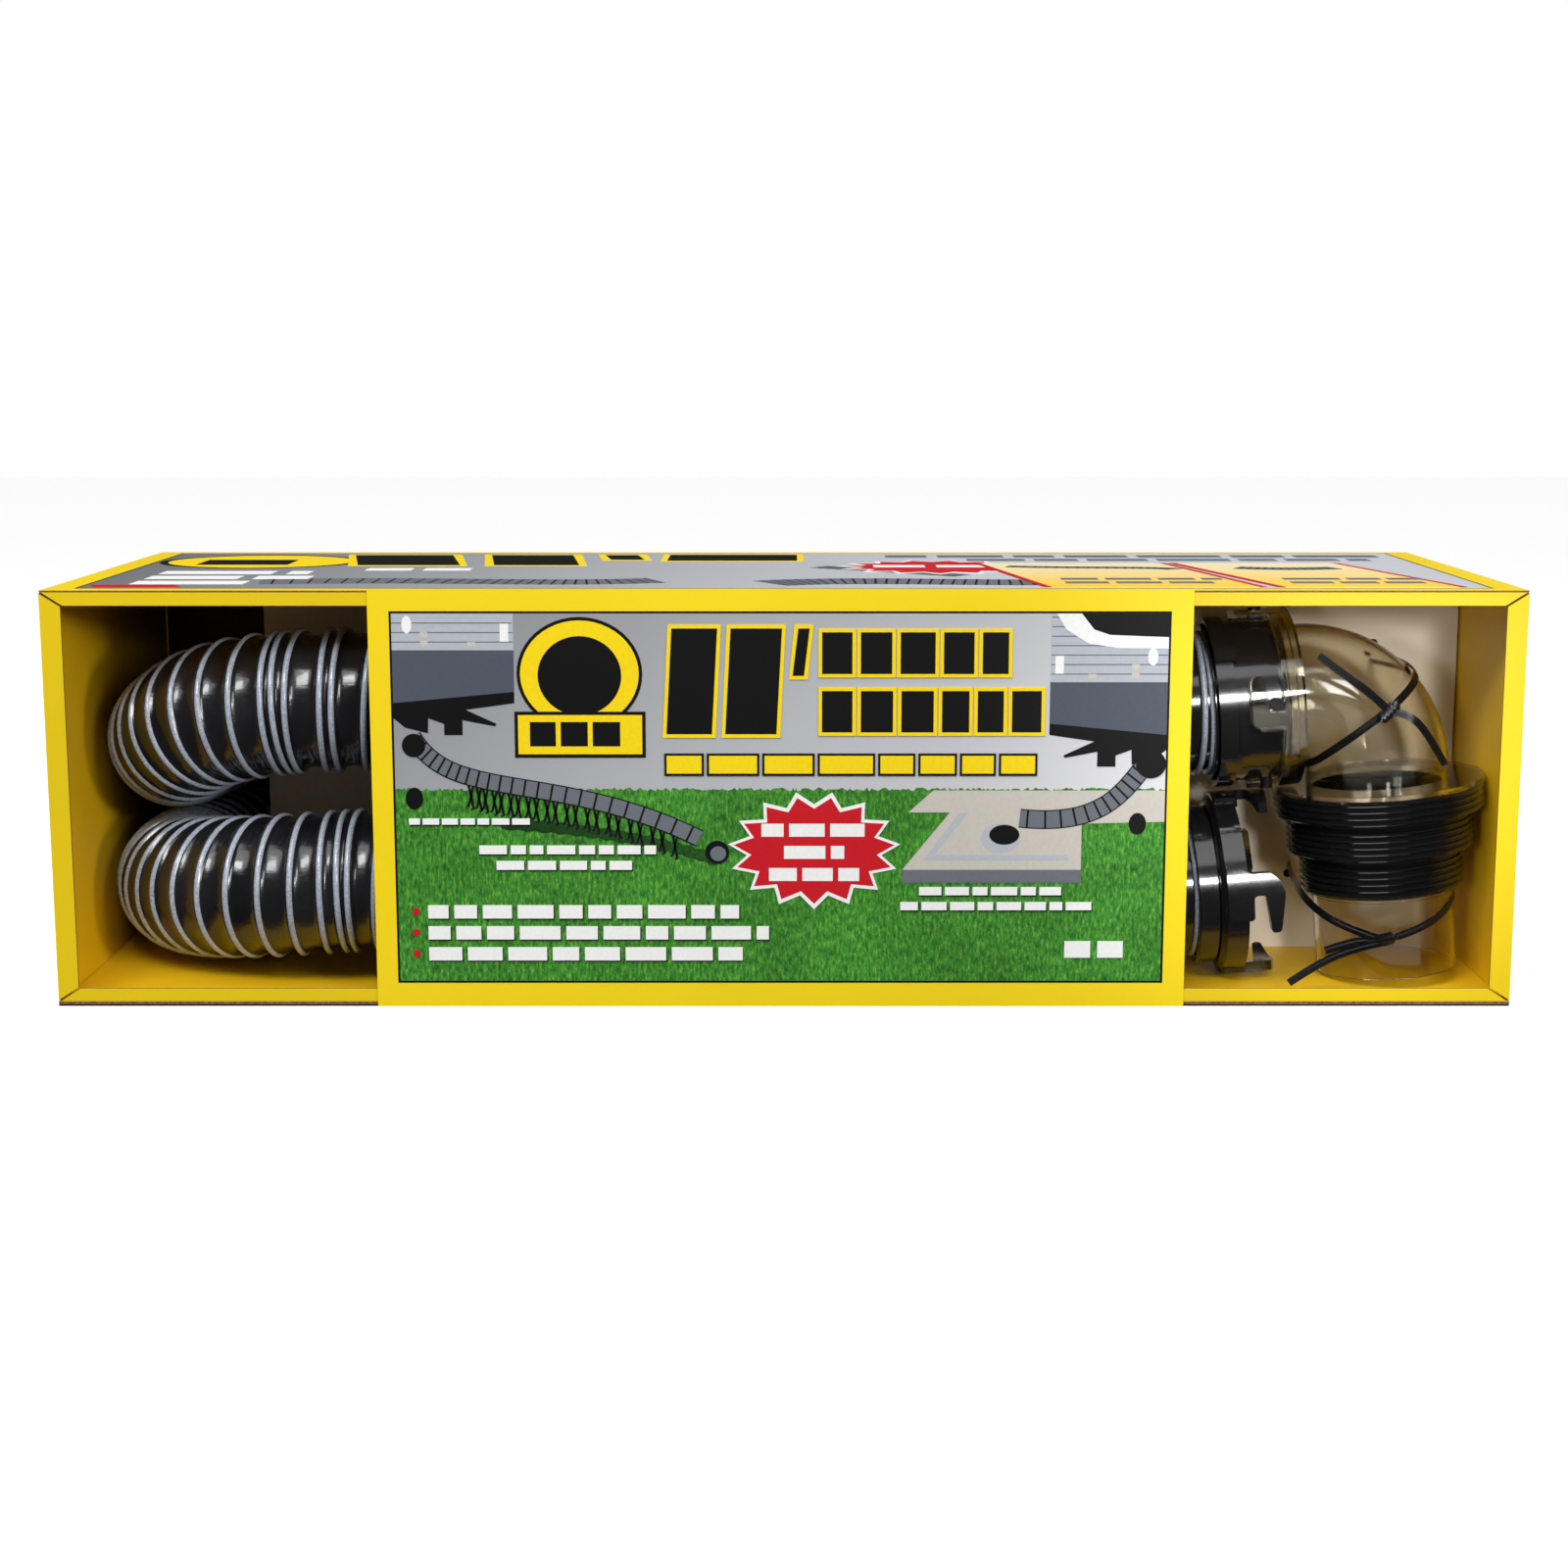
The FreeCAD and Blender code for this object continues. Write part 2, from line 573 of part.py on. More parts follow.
def make_hook_collar(node, place):
    """A collar with a flange and four hooks that reach forward over a lug collar."""
    start = size("hook_shoulder") + size("swivel_gap")
    band_start = start + size("hook_rim_length")
    end = size("hook_band_end")
    along = FreeCAD.Vector(1, 0, 0)
    rim = Part.makeCylinder(size("hook_rim_radius"), band_start - start,
                            FreeCAD.Vector(start, 0, 0), along)
    cone = Part.makeCone(size("hook_rim_radius"), size("hook_band_radius"), 2.5,
                         FreeCAD.Vector(band_start - 2.5, 0, 0), along)
    band = Part.makeCylinder(size("hook_band_radius"), end - band_start,
                             FreeCAD.Vector(band_start, 0, 0), along)
    collar = rim.fuse([cone, band])
    boss_reach = size("hook_outer_radius") + 0.4
    for hook in range(HOOKS):
        degrees = 90 + 360 * hook / HOOKS
        root = [(end - 11.4, -12.0), (end + 2.6, -12.0), (end + 2.6, 2.0)]
        claw = [(end + 9.0, 2.0), (end + 12.0, -19.9), (end + 17.0, -19.9), (end + 19.4, 3.0),
                (end + 17.2, 9.5), (end + 12.0, 13.9)]
        outline = root + claw + [(end + 2.0, 13.9), (end - 11.4, 20.5)]
        collar = collar.fuse(hook_plate(outline, size("hook_inner_radius"),
                                        size("hook_outer_radius"), degrees))
        boss = Part.makeCylinder(3.2, boss_reach, FreeCAD.Vector(end - 4, 0, 0),
                                 FreeCAD.Vector(0, 0, 1))
        boss.rotate(FreeCAD.Vector(0, 0, 0), along, degrees + 4)
        collar = collar.fuse(boss)
    journal_bore = Part.makeCylinder(size("journal_radius") + size("swivel_gap"), end + 4,
                                     FreeCAD.Vector(0, 0, 0), along)
    mouth_start = size("hook_shoulder") + size("hook_journal") - size("swivel_gap")
    mouth = Part.makeCylinder(size("mouth_radius"), end, FreeCAD.Vector(mouth_start, 0, 0), along)
    collar = collar.cut(journal_bore.fuse(mouth))
    feature(node + "_collar", collar.removeSplitter(), place)
    make_gasket(node, "Dims.hook_band_end", place)


# ---------------------------------------------------------------- elbow adapter


def make_elbow():
    """The clear elbow, in two nodes: level leg and bend, and spigot with flange and bead."""
    station = size("elbow_station")
    bend = size("bend_radius")
    level_start = FreeCAD.Vector(size("end_flange_station"), 0, 0)
    along = FreeCAD.Vector(1, 0, 0)
    down = FreeCAD.Vector(0, 0, -1)
    crossing = FreeCAD.Vector(station, 0, 0)
    bend_start = crossing - along * bend
    bend_end = crossing + down * bend
    offset = bend * (1 - math.cos(math.radians(45)))
    bend_middle = bend_start + along * (bend * math.sin(math.radians(45))) + down * offset
    arc = Part.Wire([Part.Arc(bend_start, bend_middle, bend_end).toShape()])
    spigot_length = size("spigot_length")

    def solid_pipe(reduction, overrun):
        level_radius = size("elbow_radius") - reduction
        spigot_radius = size("spigot_radius") - reduction
        level = Part.makeCylinder(level_radius, bend_start.x - level_start.x + overrun,
                                  level_start - along * overrun, along)
        section = Part.Wire([Part.makeCircle(level_radius, bend_start, along)])
        curve = arc.makePipeShell([section], True, False)
        reducer = Part.makeCone(level_radius, spigot_radius, 4, bend_end, down)
        spigot = Part.makeCylinder(spigot_radius, spigot_length - bend - 4 + overrun,
                                   bend_end + down * 4, down)
        return level.fuse([curve, reducer, spigot])

    outside = solid_pipe(0, 0)
    end_flange = Part.makeCylinder(size("end_flange_radius"), size("end_flange_width"),
                                   level_start, along)
    collar_flange = Part.makeCylinder(size("collar_flange_radius"), size("collar_flange_width"),
                                      crossing + down * size("collar_flange_station"), down)
    bead = Part.makeCylinder(size("bead_radius"), size("bead_width"),
                             crossing + down * size("bead_station"), down)
    outside = outside.fuse([end_flange, collar_flange, bead])
    pipe = outside.cut(solid_pipe(size("elbow_wall"), 1.0))
    spigot_space = Part.makeCylinder(size("collar_flange_radius") + 5, spigot_length,
                                     crossing + down * size("collar_flange_station"), down)
    feature("elbow_pipe", pipe.cut(spigot_space).removeSplitter(), upper_front_place())
    feature("spigot_pipe", pipe.common(spigot_space).removeSplitter(), upper_front_place())


def make_bayonet_ring():
    """The clear ring on the elbow's end, with four hooks over the lug collar."""
    along = FreeCAD.Vector(1, 0, 0)
    start = size("ring_start")
    end = size("ring_end")
    lip_start = size("end_flange_station") + size("end_flange_width")
    inner = size("ring_inner_radius")
    outer = size("ring_outer_radius")
    ring = Part.makeCylinder(outer, end - start, FreeCAD.Vector(start, 0, 0), along)
    for hook in range(HOOKS):
        degrees = 90 + 360 * hook / HOOKS
        arm = [(start - 13.5, -11.6), (start + 1, -11.6), (start + 1, -1.4), (start - 8.8, -1.4)]
        foot = [(start - 8.8, 8.0), (start - 10.0, 18.4), (start - 15.0, 18.4),
                (start - 17.4, 14.5), (start - 17.4, -7.5)]
        outline = arm + foot
        plate = hook_plate(outline, inner, outer, degrees)
        ring = ring.fuse(plate)
    ring = ring.cut(Part.makeCylinder(inner, lip_start - start + 40,
                                      FreeCAD.Vector(start - 40, 0, 0), along))
    ring = ring.cut(Part.makeCylinder(size("ring_lip_bore"), end,
                                      FreeCAD.Vector(start, 0, 0), along))
    feature("bayonet_ring", ring.removeSplitter(), upper_front_place())


def make_thread_adapter():
    """The stepped ring with three pipe threads, drawn as ridges round it."""
    starts = ("Dims.thread_start", "Dims.thread_step_one", "Dims.thread_step_two")
    ends = ("Dims.thread_step_one", "Dims.thread_step_two", "Dims.thread_end")
    radii = ("Dims.thread_radius_one", "Dims.thread_radius_two", "Dims.thread_radius_three")
    outline = [("Dims.thread_start", "Dims.thread_bore")]
    for start, end, radius, ridges in zip(starts, ends, radii, THREAD_RIDGES):
        for ridge in range(ridges):
            pitch = f"(({end} - {start}) / {ridges})"
            for part_way, depth in ((0.0, 1), (0.28, 0), (0.62, 0), (0.9, 1)):
                along = f"{start} + {pitch} * ({ridge} + {part_way})"
                outline.append((along, f"{radius} - {depth} * Dims.thread_depth"))
        outline.append((end, f"{radius} - Dims.thread_depth"))
    outline.append(("Dims.thread_end", "Dims.thread_bore"))
    body = turned("thread_adapter_body", outline)
    keep(body, "thread_adapter", leg_place())


# ---------------------------------------------------------------- twist ties


def tie_corners(place, radius, drop, end_gap):
    """Corners of a U round a pipe: back to the divider, round the front, back again.

    place puts the pipe's axis at the origin along Z and the front at -Y.
    """
    step = math.pi / TIE_SIDES
    corners = []
    for index in range(TIE_SIDES):
        angle = step * (index + 0.5)
        reach = radius / math.cos(step / 2)
        front = math.sin(angle)
        corners.append(place.multVec(FreeCAD.Vector(-reach * math.cos(angle), -reach * front,
                                                    -drop * front)))
    feet = []
    for side in (-1, 1):
        foot = place.multVec(FreeCAD.Vector(side * radius, 0, 0))
        foot.y = size("divider_face") - end_gap
        feet.append(foot)
    return [feet[0]] + corners + [feet[1]]


def elbow_tie_corners():
    """Round the middle of the bend, from its inner corner to its outer one."""
    bend = size("bend_radius")
    half = bend * (1 - math.cos(math.radians(45)))
    middle = upper_front_place().multVec(FreeCAD.Vector(size("elbow_station") - half, 0, -half))
    turn = FreeCAD.Rotation(FreeCAD.Vector(0, 1, 0), -45 - size("front_tilt"))
    reach = size("elbow_radius") + size("tie_clearance") + size("tie_radius")
    return tie_corners(FreeCAD.Placement(middle, turn), reach, 0, size("elbow_tie_gap"))


def spigot_tie_corners():
    """Round the spigot just under the thread, lower in front than at the sides."""
    middle = leg_place().multVec(FreeCAD.Vector(size("spigot_tie_station"), 0, 0))
    turn = FreeCAD.Rotation(FreeCAD.Vector(0, 1, 0), -size("front_tilt"))
    reach = size("spigot_radius") + size("tie_clearance") + size("tie_radius")
    return tie_corners(FreeCAD.Placement(middle, turn), reach, size("spigot_tie_drop"),
                       size("spigot_tie_gap"))


def tie_ends():
    """Where the ties' ends meet the divider."""
    ends = []
    for corners in (elbow_tie_corners(), spigot_tie_corners()):
        ends += [corners[0], corners[-1]]
    return ends


def make_ties():
    for node, corners in (("elbow_tie", elbow_tie_corners()), ("spigot_tie", spigot_tie_corners())):
        path = rounded_path(corners)[0]
        feature(node, swept(path, size("tie_radius")))


# ---------------------------------------------------------------- hoses


def make_hose(node, front, bend, back):
    """A hose as a plain tube along straight runs and tangent arcs."""
    first = front.Base
    second = front.multVec(FreeCAD.Vector(-STRAIGHT_END, 0, 0))
    last_but_one = back.multVec(FreeCAD.Vector(-STRAIGHT_END, 0, 0))
    path, radii = rounded_path([first, second] + bend + [last_but_one, back.Base])
    outer = size("hose_radius")
    inner = outer - size("hose_wall")
    tube = swept(path, outer).cut(swept(path, inner))
    section = math.pi * (outer ** 2 - inner ** 2)
    print(f"{node}: length {path.Length:.1f}, volume over section times length "
          f"{tube.Volume / (section * path.Length):.4f}")
    print("  arc radii", [round(radius) for radius in radii])
    feature(node, tube)


# ---------------------------------------------------------------- checks and files


def check_and_write():
    """Stop on any failed object, then write one STEP file for each sub-part."""
    doc.recompute()
    for obj in doc.Objects:
        if "Invalid" in obj.State or "Error" in obj.State:
            raise RuntimeError(f"{obj.Label} failed to recompute: {obj.State}")
    for obj in parts:
        if obj.Shape.isNull() or not obj.Shape.isValid() or not obj.Shape.Solids:
            raise RuntimeError(f"{obj.Label} has no valid solid")
    os.makedirs("parts", exist_ok=True)
    for obj in parts:
        obj.Shape.exportStep(os.path.join("parts", obj.Label + ".step"))
        print(f"{obj.Label}: {len(obj.Shape.Solids)} solid(s), {obj.Shape.Volume / 1000:.2f} cm3")


fill_sheet()
make_carton()
make_divider()
FITTINGS = [("upper_front", "lug", upper_front_place()), ("upper_back", "hook", upper_back_place()),
            ("lower_front", "hook", lower_front_place()), ("lower_back", "lug", lower_back_place())]
for fitting, fitting_kind, fitting_frame in FITTINGS:
    make_cuff(fitting, fitting_kind, fitting_frame)
    make_retainer(fitting, fitting_kind, fitting_frame)
    if fitting_kind == "lug":
        make_lug_collar(fitting, fitting_frame)
    else:
        make_hook_collar(fitting, fitting_frame)
make_hose("upper_hose", upper_front_place(), UPPER_BEND, upper_back_place())
make_hose("lower_hose", lower_front_place(), LOWER_BEND, lower_back_place())
make_elbow()
make_bayonet_ring()
make_thread_adapter()
make_ties()
check_and_write()
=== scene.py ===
from math import copysign, cos, hypot, pi, radians, sin
import random

import bpy
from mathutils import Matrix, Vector, noise


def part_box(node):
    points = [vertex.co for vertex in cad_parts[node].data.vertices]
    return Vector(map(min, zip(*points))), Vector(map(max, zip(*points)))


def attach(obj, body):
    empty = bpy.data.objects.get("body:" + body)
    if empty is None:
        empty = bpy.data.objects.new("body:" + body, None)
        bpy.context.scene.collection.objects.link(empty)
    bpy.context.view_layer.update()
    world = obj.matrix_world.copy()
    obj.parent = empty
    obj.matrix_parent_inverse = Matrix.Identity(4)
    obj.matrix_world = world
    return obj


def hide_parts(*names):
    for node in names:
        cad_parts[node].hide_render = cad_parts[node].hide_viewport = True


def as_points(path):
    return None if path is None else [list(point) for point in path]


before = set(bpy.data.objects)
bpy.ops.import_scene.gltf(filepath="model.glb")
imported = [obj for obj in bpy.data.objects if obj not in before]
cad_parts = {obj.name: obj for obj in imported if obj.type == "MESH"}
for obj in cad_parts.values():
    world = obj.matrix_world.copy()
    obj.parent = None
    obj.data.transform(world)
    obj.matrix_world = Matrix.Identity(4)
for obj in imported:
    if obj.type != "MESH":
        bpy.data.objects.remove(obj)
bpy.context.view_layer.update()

# The looks of a boxed sewer hose kit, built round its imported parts. Metres; X along the carton,
# Y from its windowed front to its back, Z up. Printed shapes are in millimetres on their board.

MM = 0.001
scene = bpy.context.scene


def ink(red, green, blue):
    """A linear colour from the 0-255 numbers of a paint chart."""
    return tuple(((part / 255 + 0.055) / 1.055) ** 2.4 if part > 10 else part / 255 / 12.92
                 for part in (red, green, blue))


# ---- camera, stage and light


def make_camera():
    """A long lens in front of the carton, looking a little down."""
    data = bpy.data.cameras.new("camera")
    data.lens = 56.9
    data.sensor_width = 36.0
    data.clip_end = 20.0
    camera = bpy.data.objects.new("camera", data)
    camera.location = (0.0, -1.4245, 0.3426)
    looks_down = 9.71  # degrees below level
    camera.rotation_euler = (radians(90 - looks_down), 0.0, 0.0)
    scene.collection.objects.link(camera)
    scene.camera = camera


def place_light(name, data, place, aim):
    """A light in the scene that points at a place."""
    light = bpy.data.objects.new(name, data)
    light.location = place
    light.rotation_euler = (Vector(aim) - Vector(place)).to_track_quat("-Z", "Y").to_euler()
    scene.collection.objects.link(light)
    return light


def area_light(name, place, aim, side, watts, glossy=True):
    """A softbox that points at a place."""
    data = bpy.data.lights.new(name, "AREA")
    data.shape = "RECTANGLE"
    data.size, data.size_y = side
    data.energy = watts
    place_light(name, data, place, aim).visible_glossy = glossy


def spot_light(name, place, aim, spread, watts, softness=0.09):
    """A soft-edged spot that reaches into a window of the carton."""
    data = bpy.data.lights.new(name, "SPOT")
    data.energy = watts
    data.spot_size = radians(spread)
    data.spot_blend = 0.9
    data.shadow_soft_size = softness
    place_light(name, data, place, aim)


def make_world():
    """White where it is seen, a soft grey as a light, and nearly dark in reflections."""
    world = bpy.data.worlds.new("surround")
    world.use_nodes = True
    nodes, links = world.node_tree.nodes, world.node_tree.links
    shader = nodes["Background"]
    path = nodes.new("ShaderNodeLightPath")
    for strength, ray in ((0.19, None), (0.05, "Is Glossy Ray"), (1.0, "Is Camera Ray")):
        background = nodes.new("ShaderNodeBackground")
        background.inputs["Color"].default_value = (1.0, 1.0, 1.0, 1.0)
        background.inputs["Strength"].default_value = strength
        if ray is None:
            shader = background
            continue
        mix = nodes.new("ShaderNodeMixShader")
        links.new(path.outputs[ray], mix.inputs["Fac"])
        links.new(shader.outputs[0], mix.inputs[1])
        links.new(background.outputs["Background"], mix.inputs[2])
        shader = mix
    links.new(shader.outputs["Shader"], nodes["World Output"].inputs["Surface"])
    scene.world = world
    scene.view_settings.view_transform = "Standard"


def make_stage():
    """A pale floor, a soft overhead light, three softboxes and three spots for the windows."""
    make_world()
    paint = principled("floor_paint", grey(0.9), 0.9, Emission_Color=(1.0, 1.0, 1.0, 1.0),
                       Emission_Strength=0.22)[0]
    corners = [(x, y, 0.0) for x, y in rect(-6.0, -6.0, 6.0, 6.0)]
    floor = mesh_object("floor", corners, [(0, 1, 2, 3)], [paint])
    floor.visible_glossy = False
    floor.visible_diffuse = False
    sky = bpy.data.lights.new("overhead", "SUN")
    sky.energy = 2.3
    sky.angle = radians(70)
    overhead = bpy.data.objects.new("overhead", sky)
    overhead.rotation_euler = (radians(20), radians(-10), 0.0)
    scene.collection.objects.link(overhead)
    area_light("key", (-0.45, -1.35, 1.35), (-0.1, 0.0, 0.1), (1.3, 0.4), 20.5)
    area_light("fill", (0.85, -1.5, 0.75), (0.3, 0.0, 0.1), (0.35, 0.6), 8.5)
    area_light("back", (0.35, 1.7, 0.55), (0.0, 0.1, 0.1), (1.6, 0.6), 22.0, False)
    spot_light("right_window_light", (0.42, -1.35, 0.42), (0.31, 0.0, 0.11), 17.0, 41.0)
    spot_light("right_wall_light", (-0.35, -1.45, 0.30), (0.385, 0.0, 0.10), 12.0, 24.0)
    spot_light("left_wall_light", (1.20, -1.20, 0.42), (-0.385, -0.06, 0.11), 10.0, 120.0, 0.24)


# ---- materials


def principled(name, color, roughness, **values):
    """A material and its Principled shader, with plain numbers on the shader's own sockets."""
    material = bpy.data.materials.new(name)
    material.use_nodes = True
    shader = material.node_tree.nodes["Principled BSDF"]
    shader.inputs["Base Color"].default_value = (*color, 1.0)
    shader.inputs["Roughness"].default_value = roughness
    for socket, number in values.items():
        shader.inputs[socket.replace("_", " ")].default_value = number
    material.diffuse_color = (*color, 1.0)
    return material, shader


def feed(material, socket, given):
    """Give an input a value, or link a socket to it."""
    if isinstance(given, bpy.types.NodeSocket):
        link(material, given, socket)
    else:
        socket.default_value = given


def make_node(material, kind, **inputs):
    """A shader node with some of its inputs set; an input can be a value or a socket."""
    node = material.node_tree.nodes.new(kind)
    for name, given in inputs.items():
        feed(material, node.inputs[name.replace("_", " ")], given)
    return node


def link(material, source, target):
    material.node_tree.links.new(source, target)


def tint(material, shader, color):
    link(material, color, shader.inputs["Base Color"])


def vector_math(material, coordinates, operation, other):
    """A node that works on the piece's own coordinates and another vector."""
    given = make_node(material, "ShaderNodeTexCoord").outputs[coordinates]
    node = make_node(material, "ShaderNodeVectorMath", Vector=given)
    node.operation = operation
    node.inputs[1].default_value = other
    return node


def zero_to_one(material, value, start, end):
    """0 to 1 as a value goes from start to end."""
    spread = make_node(material, "ShaderNodeMapRange", Value=value)
    spread.inputs["From Min"].default_value = start
    spread.inputs["From Max"].default_value = end
    return spread.outputs["Result"]


def object_position(material, stretch=(1, 1, 1)):
    """The point on the piece, stretched along each axis."""
    return vector_math(material, "Object", "MULTIPLY", stretch).outputs["Vector"]


def along(material, direction, start, end):
    """0 to 1 as a point goes from start to end along a direction."""
    distance = vector_math(material, "Object", "DOT_PRODUCT", direction).outputs["Value"]
    return zero_to_one(material, distance, start, end)


def ramp(material, source, stops, smooth=True):
    """A colour ramp with (position, colour) stops."""
    node = make_node(material, "ShaderNodeValToRGB", Fac=source)
    node.color_ramp.interpolation = "LINEAR" if smooth else "CONSTANT"
    elements = node.color_ramp.elements
    while len(elements) < len(stops):
        elements.new(0.5)
    for element, (position, color) in zip(elements, stops):
        element.position = position
        element.color = (*color, 1.0)
    return node.outputs["Color"]


def grey(level):
    return (level, level, level)


def noise_texture(material, scale, detail=4.0, stretch=(1, 1, 1), roughness=0.55):
    node = make_node(material, "ShaderNodeTexNoise", Vector=object_position(material, stretch),
                     Scale=scale, Detail=detail, Roughness=roughness)
    return node.outputs["Fac"]


def mixed(material, factor, first, second, blend="MIX"):
    """Two colours mixed by a factor; each can be a value or a socket."""
    node = material.node_tree.nodes.new("ShaderNodeMix")
    node.data_type = "RGBA"
    node.blend_type = blend
    colors = [socket for socket in node.inputs if socket.type == "RGBA"]
    for socket, given in ((node.inputs[0], factor), (colors[0], first), (colors[1], second)):
        feed(material, socket, (*given, 1.0) if isinstance(given, tuple) else given)
    return [socket for socket in node.outputs if socket.type == "RGBA"][0]


def bump(material, shader, height, strength, distance):
    """A bump on a shader, from a height."""
    node = make_node(material, "ShaderNodeBump", Height=height, Strength=strength,
                     Distance=distance)
    link(material, node.outputs["Normal"], shader.inputs["Normal"])


def varied(name, color, roughness, swing=0.12, grain=400.0, depth=0.00006, **values):
    """A material whose colour and gloss drift a little, with a fine grain."""
    material, shader = principled(name, color, roughness, **values)
    drift = noise_texture(material, 22.0)
    low = tuple(part * (1 - swing) for part in color)
    high = tuple(min(part * (1 + swing), 1.0) for part in color)
    tint(material, shader, ramp(material, drift, [(0.3, low), (0.7, high)]))
    scuff = noise_texture(material, 75.0, 5.0)
    link(material, ramp(material, scuff, [(0.3, grey(roughness * 0.8)), (0.75, grey(roughness * 1.3))]),
         shader.inputs["Roughness"])
    bump(material, shader, noise_texture(material, grain, 2.0), 0.35, depth)
    return material


KRAFT = ink(146, 104, 62)
KRAFT_DARK = ink(88, 58, 32)
CARTON_YELLOW = ink(255, 222, 22)
# painted shade: the boards' inner faces get a darker copy of the carton's yellow, for the shade inside
# the carton
INNER_YELLOW_PAINTED_SHADE = ink(240, 190, 18)
# painted shade: the lips and posts get a darker copy of the carton's yellow, to offset the stronger
# light on them
FRAME_YELLOW_PAINTED_SHADE = ink(214, 184, 14)
# painted shade: the back tray's inner face is dark brown, for the deep shade at the back of the carton
TRAY_BACK_PAINTED_SHADE = ink(96, 68, 40)
DIVIDER_BUFF = ink(222, 210, 190)


def board_material(name, outer, inner, thin_axis, inner_sign, roughness=0.42):
    """Printed corrugated board: an outer print, an inner face and raw fluted edges."""
    material, shader = principled(name, outer, roughness, Coat_Weight=0.08, Coat_Roughness=0.35,
                                  Specular_IOR_Level=0.3)
    inward = [inner_sign * (axis == thin_axis) for axis in range(3)]
    facing = vector_math(material, "Normal", "DOT_PRODUCT", inward).outputs["Value"]
    level = zero_to_one(material, facing, -1.0, 1.0)
    is_inner = ramp(material, level, [(0.0, grey(0.0)), (0.8, grey(1.0))], False)
    is_edge = ramp(material, level, [(0.0, grey(0.0)), (0.2, grey(1.0)), (0.8, grey(0.0))], False)
    drift = noise_texture(material, 9.0)
    outer_print = ramp(material, drift, [(0.3, tuple(part * 0.95 for part in outer)), (0.7, outer)])
    inner_print = ramp(material, drift, [(0.3, tuple(part * 0.86 for part in inner)), (0.7, inner)])
    fibre = noise_texture(material, 900.0, 3.0)
    raw = ramp(material, fibre, [(0.3, KRAFT_DARK), (0.65, KRAFT)])
    faces = mixed(material, is_inner, outer_print, inner_print)
    tint(material, shader, mixed(material, is_edge, faces, raw))
    link(material, mixed(material, is_edge, grey(roughness), grey(0.9)), shader.inputs["Roughness"])
    flutes = make_node(material, "ShaderNodeTexWave", Vector=object_position(material),
                       Scale=70.0, Distortion=0.6)
    flutes.bands_direction = "X" if thin_axis else "Y"
    fine = noise_texture(material, 320.0, 3.0)
    bump(material, shader, mixed(material, 0.7, flutes.outputs["Color"], fine), 0.22, 0.00010)
    return material


def moulded_black(name="moulded_black", level=0.006, roughness=0.17, depth=0.00008):
    """Glossy black moulded plastic."""
    return varied(name, (level, level, level * 1.1), roughness, 0.25, 260.0, depth,
                  Coat_Weight=0.35, Coat_Roughness=0.07)


def satin_grey():
    return varied("satin_grey", (0.06, 0.06, 0.062), 0.5, 0.15, 500.0, 0.00006)


def seal_rubber():
    return varied("seal_rubber", (0.02, 0.019, 0.018), 0.55, 0.3, 700.0, 0.00008)


def clear_moulding():
    """Clear plastic, slightly smoky and tinted amber as a painted reflection of the yellow carton, with
    the faint waves of a moulding.
    """
    # the tint is partly the plastic's own smoke and partly amber, a painted reflection of the yellow
    # carton seen through it
    material, shader = principled("clear_moulding", (0.91, 0.87, 0.76), 0.05,
                                  Transmission_Weight=1.0, IOR=1.46)
    link(material, ramp(material, noise_texture(material, 60.0),
                        [(0.35, grey(0.03)), (0.8, grey(0.14))]), shader.inputs["Roughness"])
    bump(material, shader, noise_texture(material, 38.0, 2.0), 0.25, 0.0004)
    return material


# ---- the hoses

HOSE_RADIUS = 0.040
BEAD_RADIUS = 0.0016
FILM_REACH = 0.0180  # the most that the film lets the bead's turns part
WIDE_PITCHES = (0.0145, 0.0178)  # between turns of the bead that stand apart
CLOSE_PITCHES = (0.0058, 0.0072)  # and between those that are bunched
SHORTEST_FILM = 0.0003
LONG_FILM = 0.012  # film this long between two turns sinks as deep as it can
FILM_SINK = 0.0014  # below the bead, for the shortest film
LONG_FILM_SINK = 0.0010  # and this much more for the longest
WRINKLE = 0.0006
END_WRINKLE = 0.0012  # more than that beside the fitting, as far as END_REACH
END_REACH = 0.012
SAME_PLACE = 0.00001
TAUT_BEND = 6.0  # one over the radius of a bend that pulls its outer film taut
BEAD_STEPS = 6
FILM_STEPS = 7
ROUND_STEPS = 44

# The hoses' routes, from the front fitting round the divider to the back fitting.
UPPER_ROUTE = [
    (0.231, -0.0675, 0.156062), (0.161266, -0.0675, 0.149961), (0.045, -0.0705, 0.1475),
    (-0.085, -0.075, 0.154), (-0.205, -0.0795, 0.161), (-0.305, -0.0805, 0.1565),
    (-0.3475, -0.038, 0.13), (-0.3475, 0.034, 0.1245), (-0.3, 0.0805, 0.139),
    (-0.205, 0.079, 0.154), (-0.085, 0.0745, 0.1585), (0.04, 0.0685, 0.157),
    (0.155, 0.064, 0.161), (0.225, 0.064, 0.161),
]
LOWER_ROUTE = [
    (0.2253, -0.0675, 0.0534), (0.155516, -0.0675, 0.047908), (0.035, -0.071, 0.051),
    (-0.095, -0.0755, 0.057), (-0.212, -0.08, 0.0605), (-0.3, -0.0805, 0.054),
    (-0.347, -0.0335, 0.0465), (-0.347, 0.034, 0.0445), (-0.3, 0.0805, 0.0465),
    (-0.208, 0.0795, 0.052), (-0.09, 0.075, 0.0545), (0.038, 0.068, 0.0562),
    (0.155, 0.064, 0.0567), (0.225, 0.064, 0.0567),
]

UPPER_BEADS = {"first": 0.0047, "window": -0.2226,
               "pitches": [0.0172, 0.0062, 0.0168, 0.0056, 0.0050, 0.0140]}
LOWER_BEADS = {"first": 0.0083, "window": -0.2350,
               "pitches": [0.0056, 0.0092, 0.0140, 0.0138, 0.0136]}


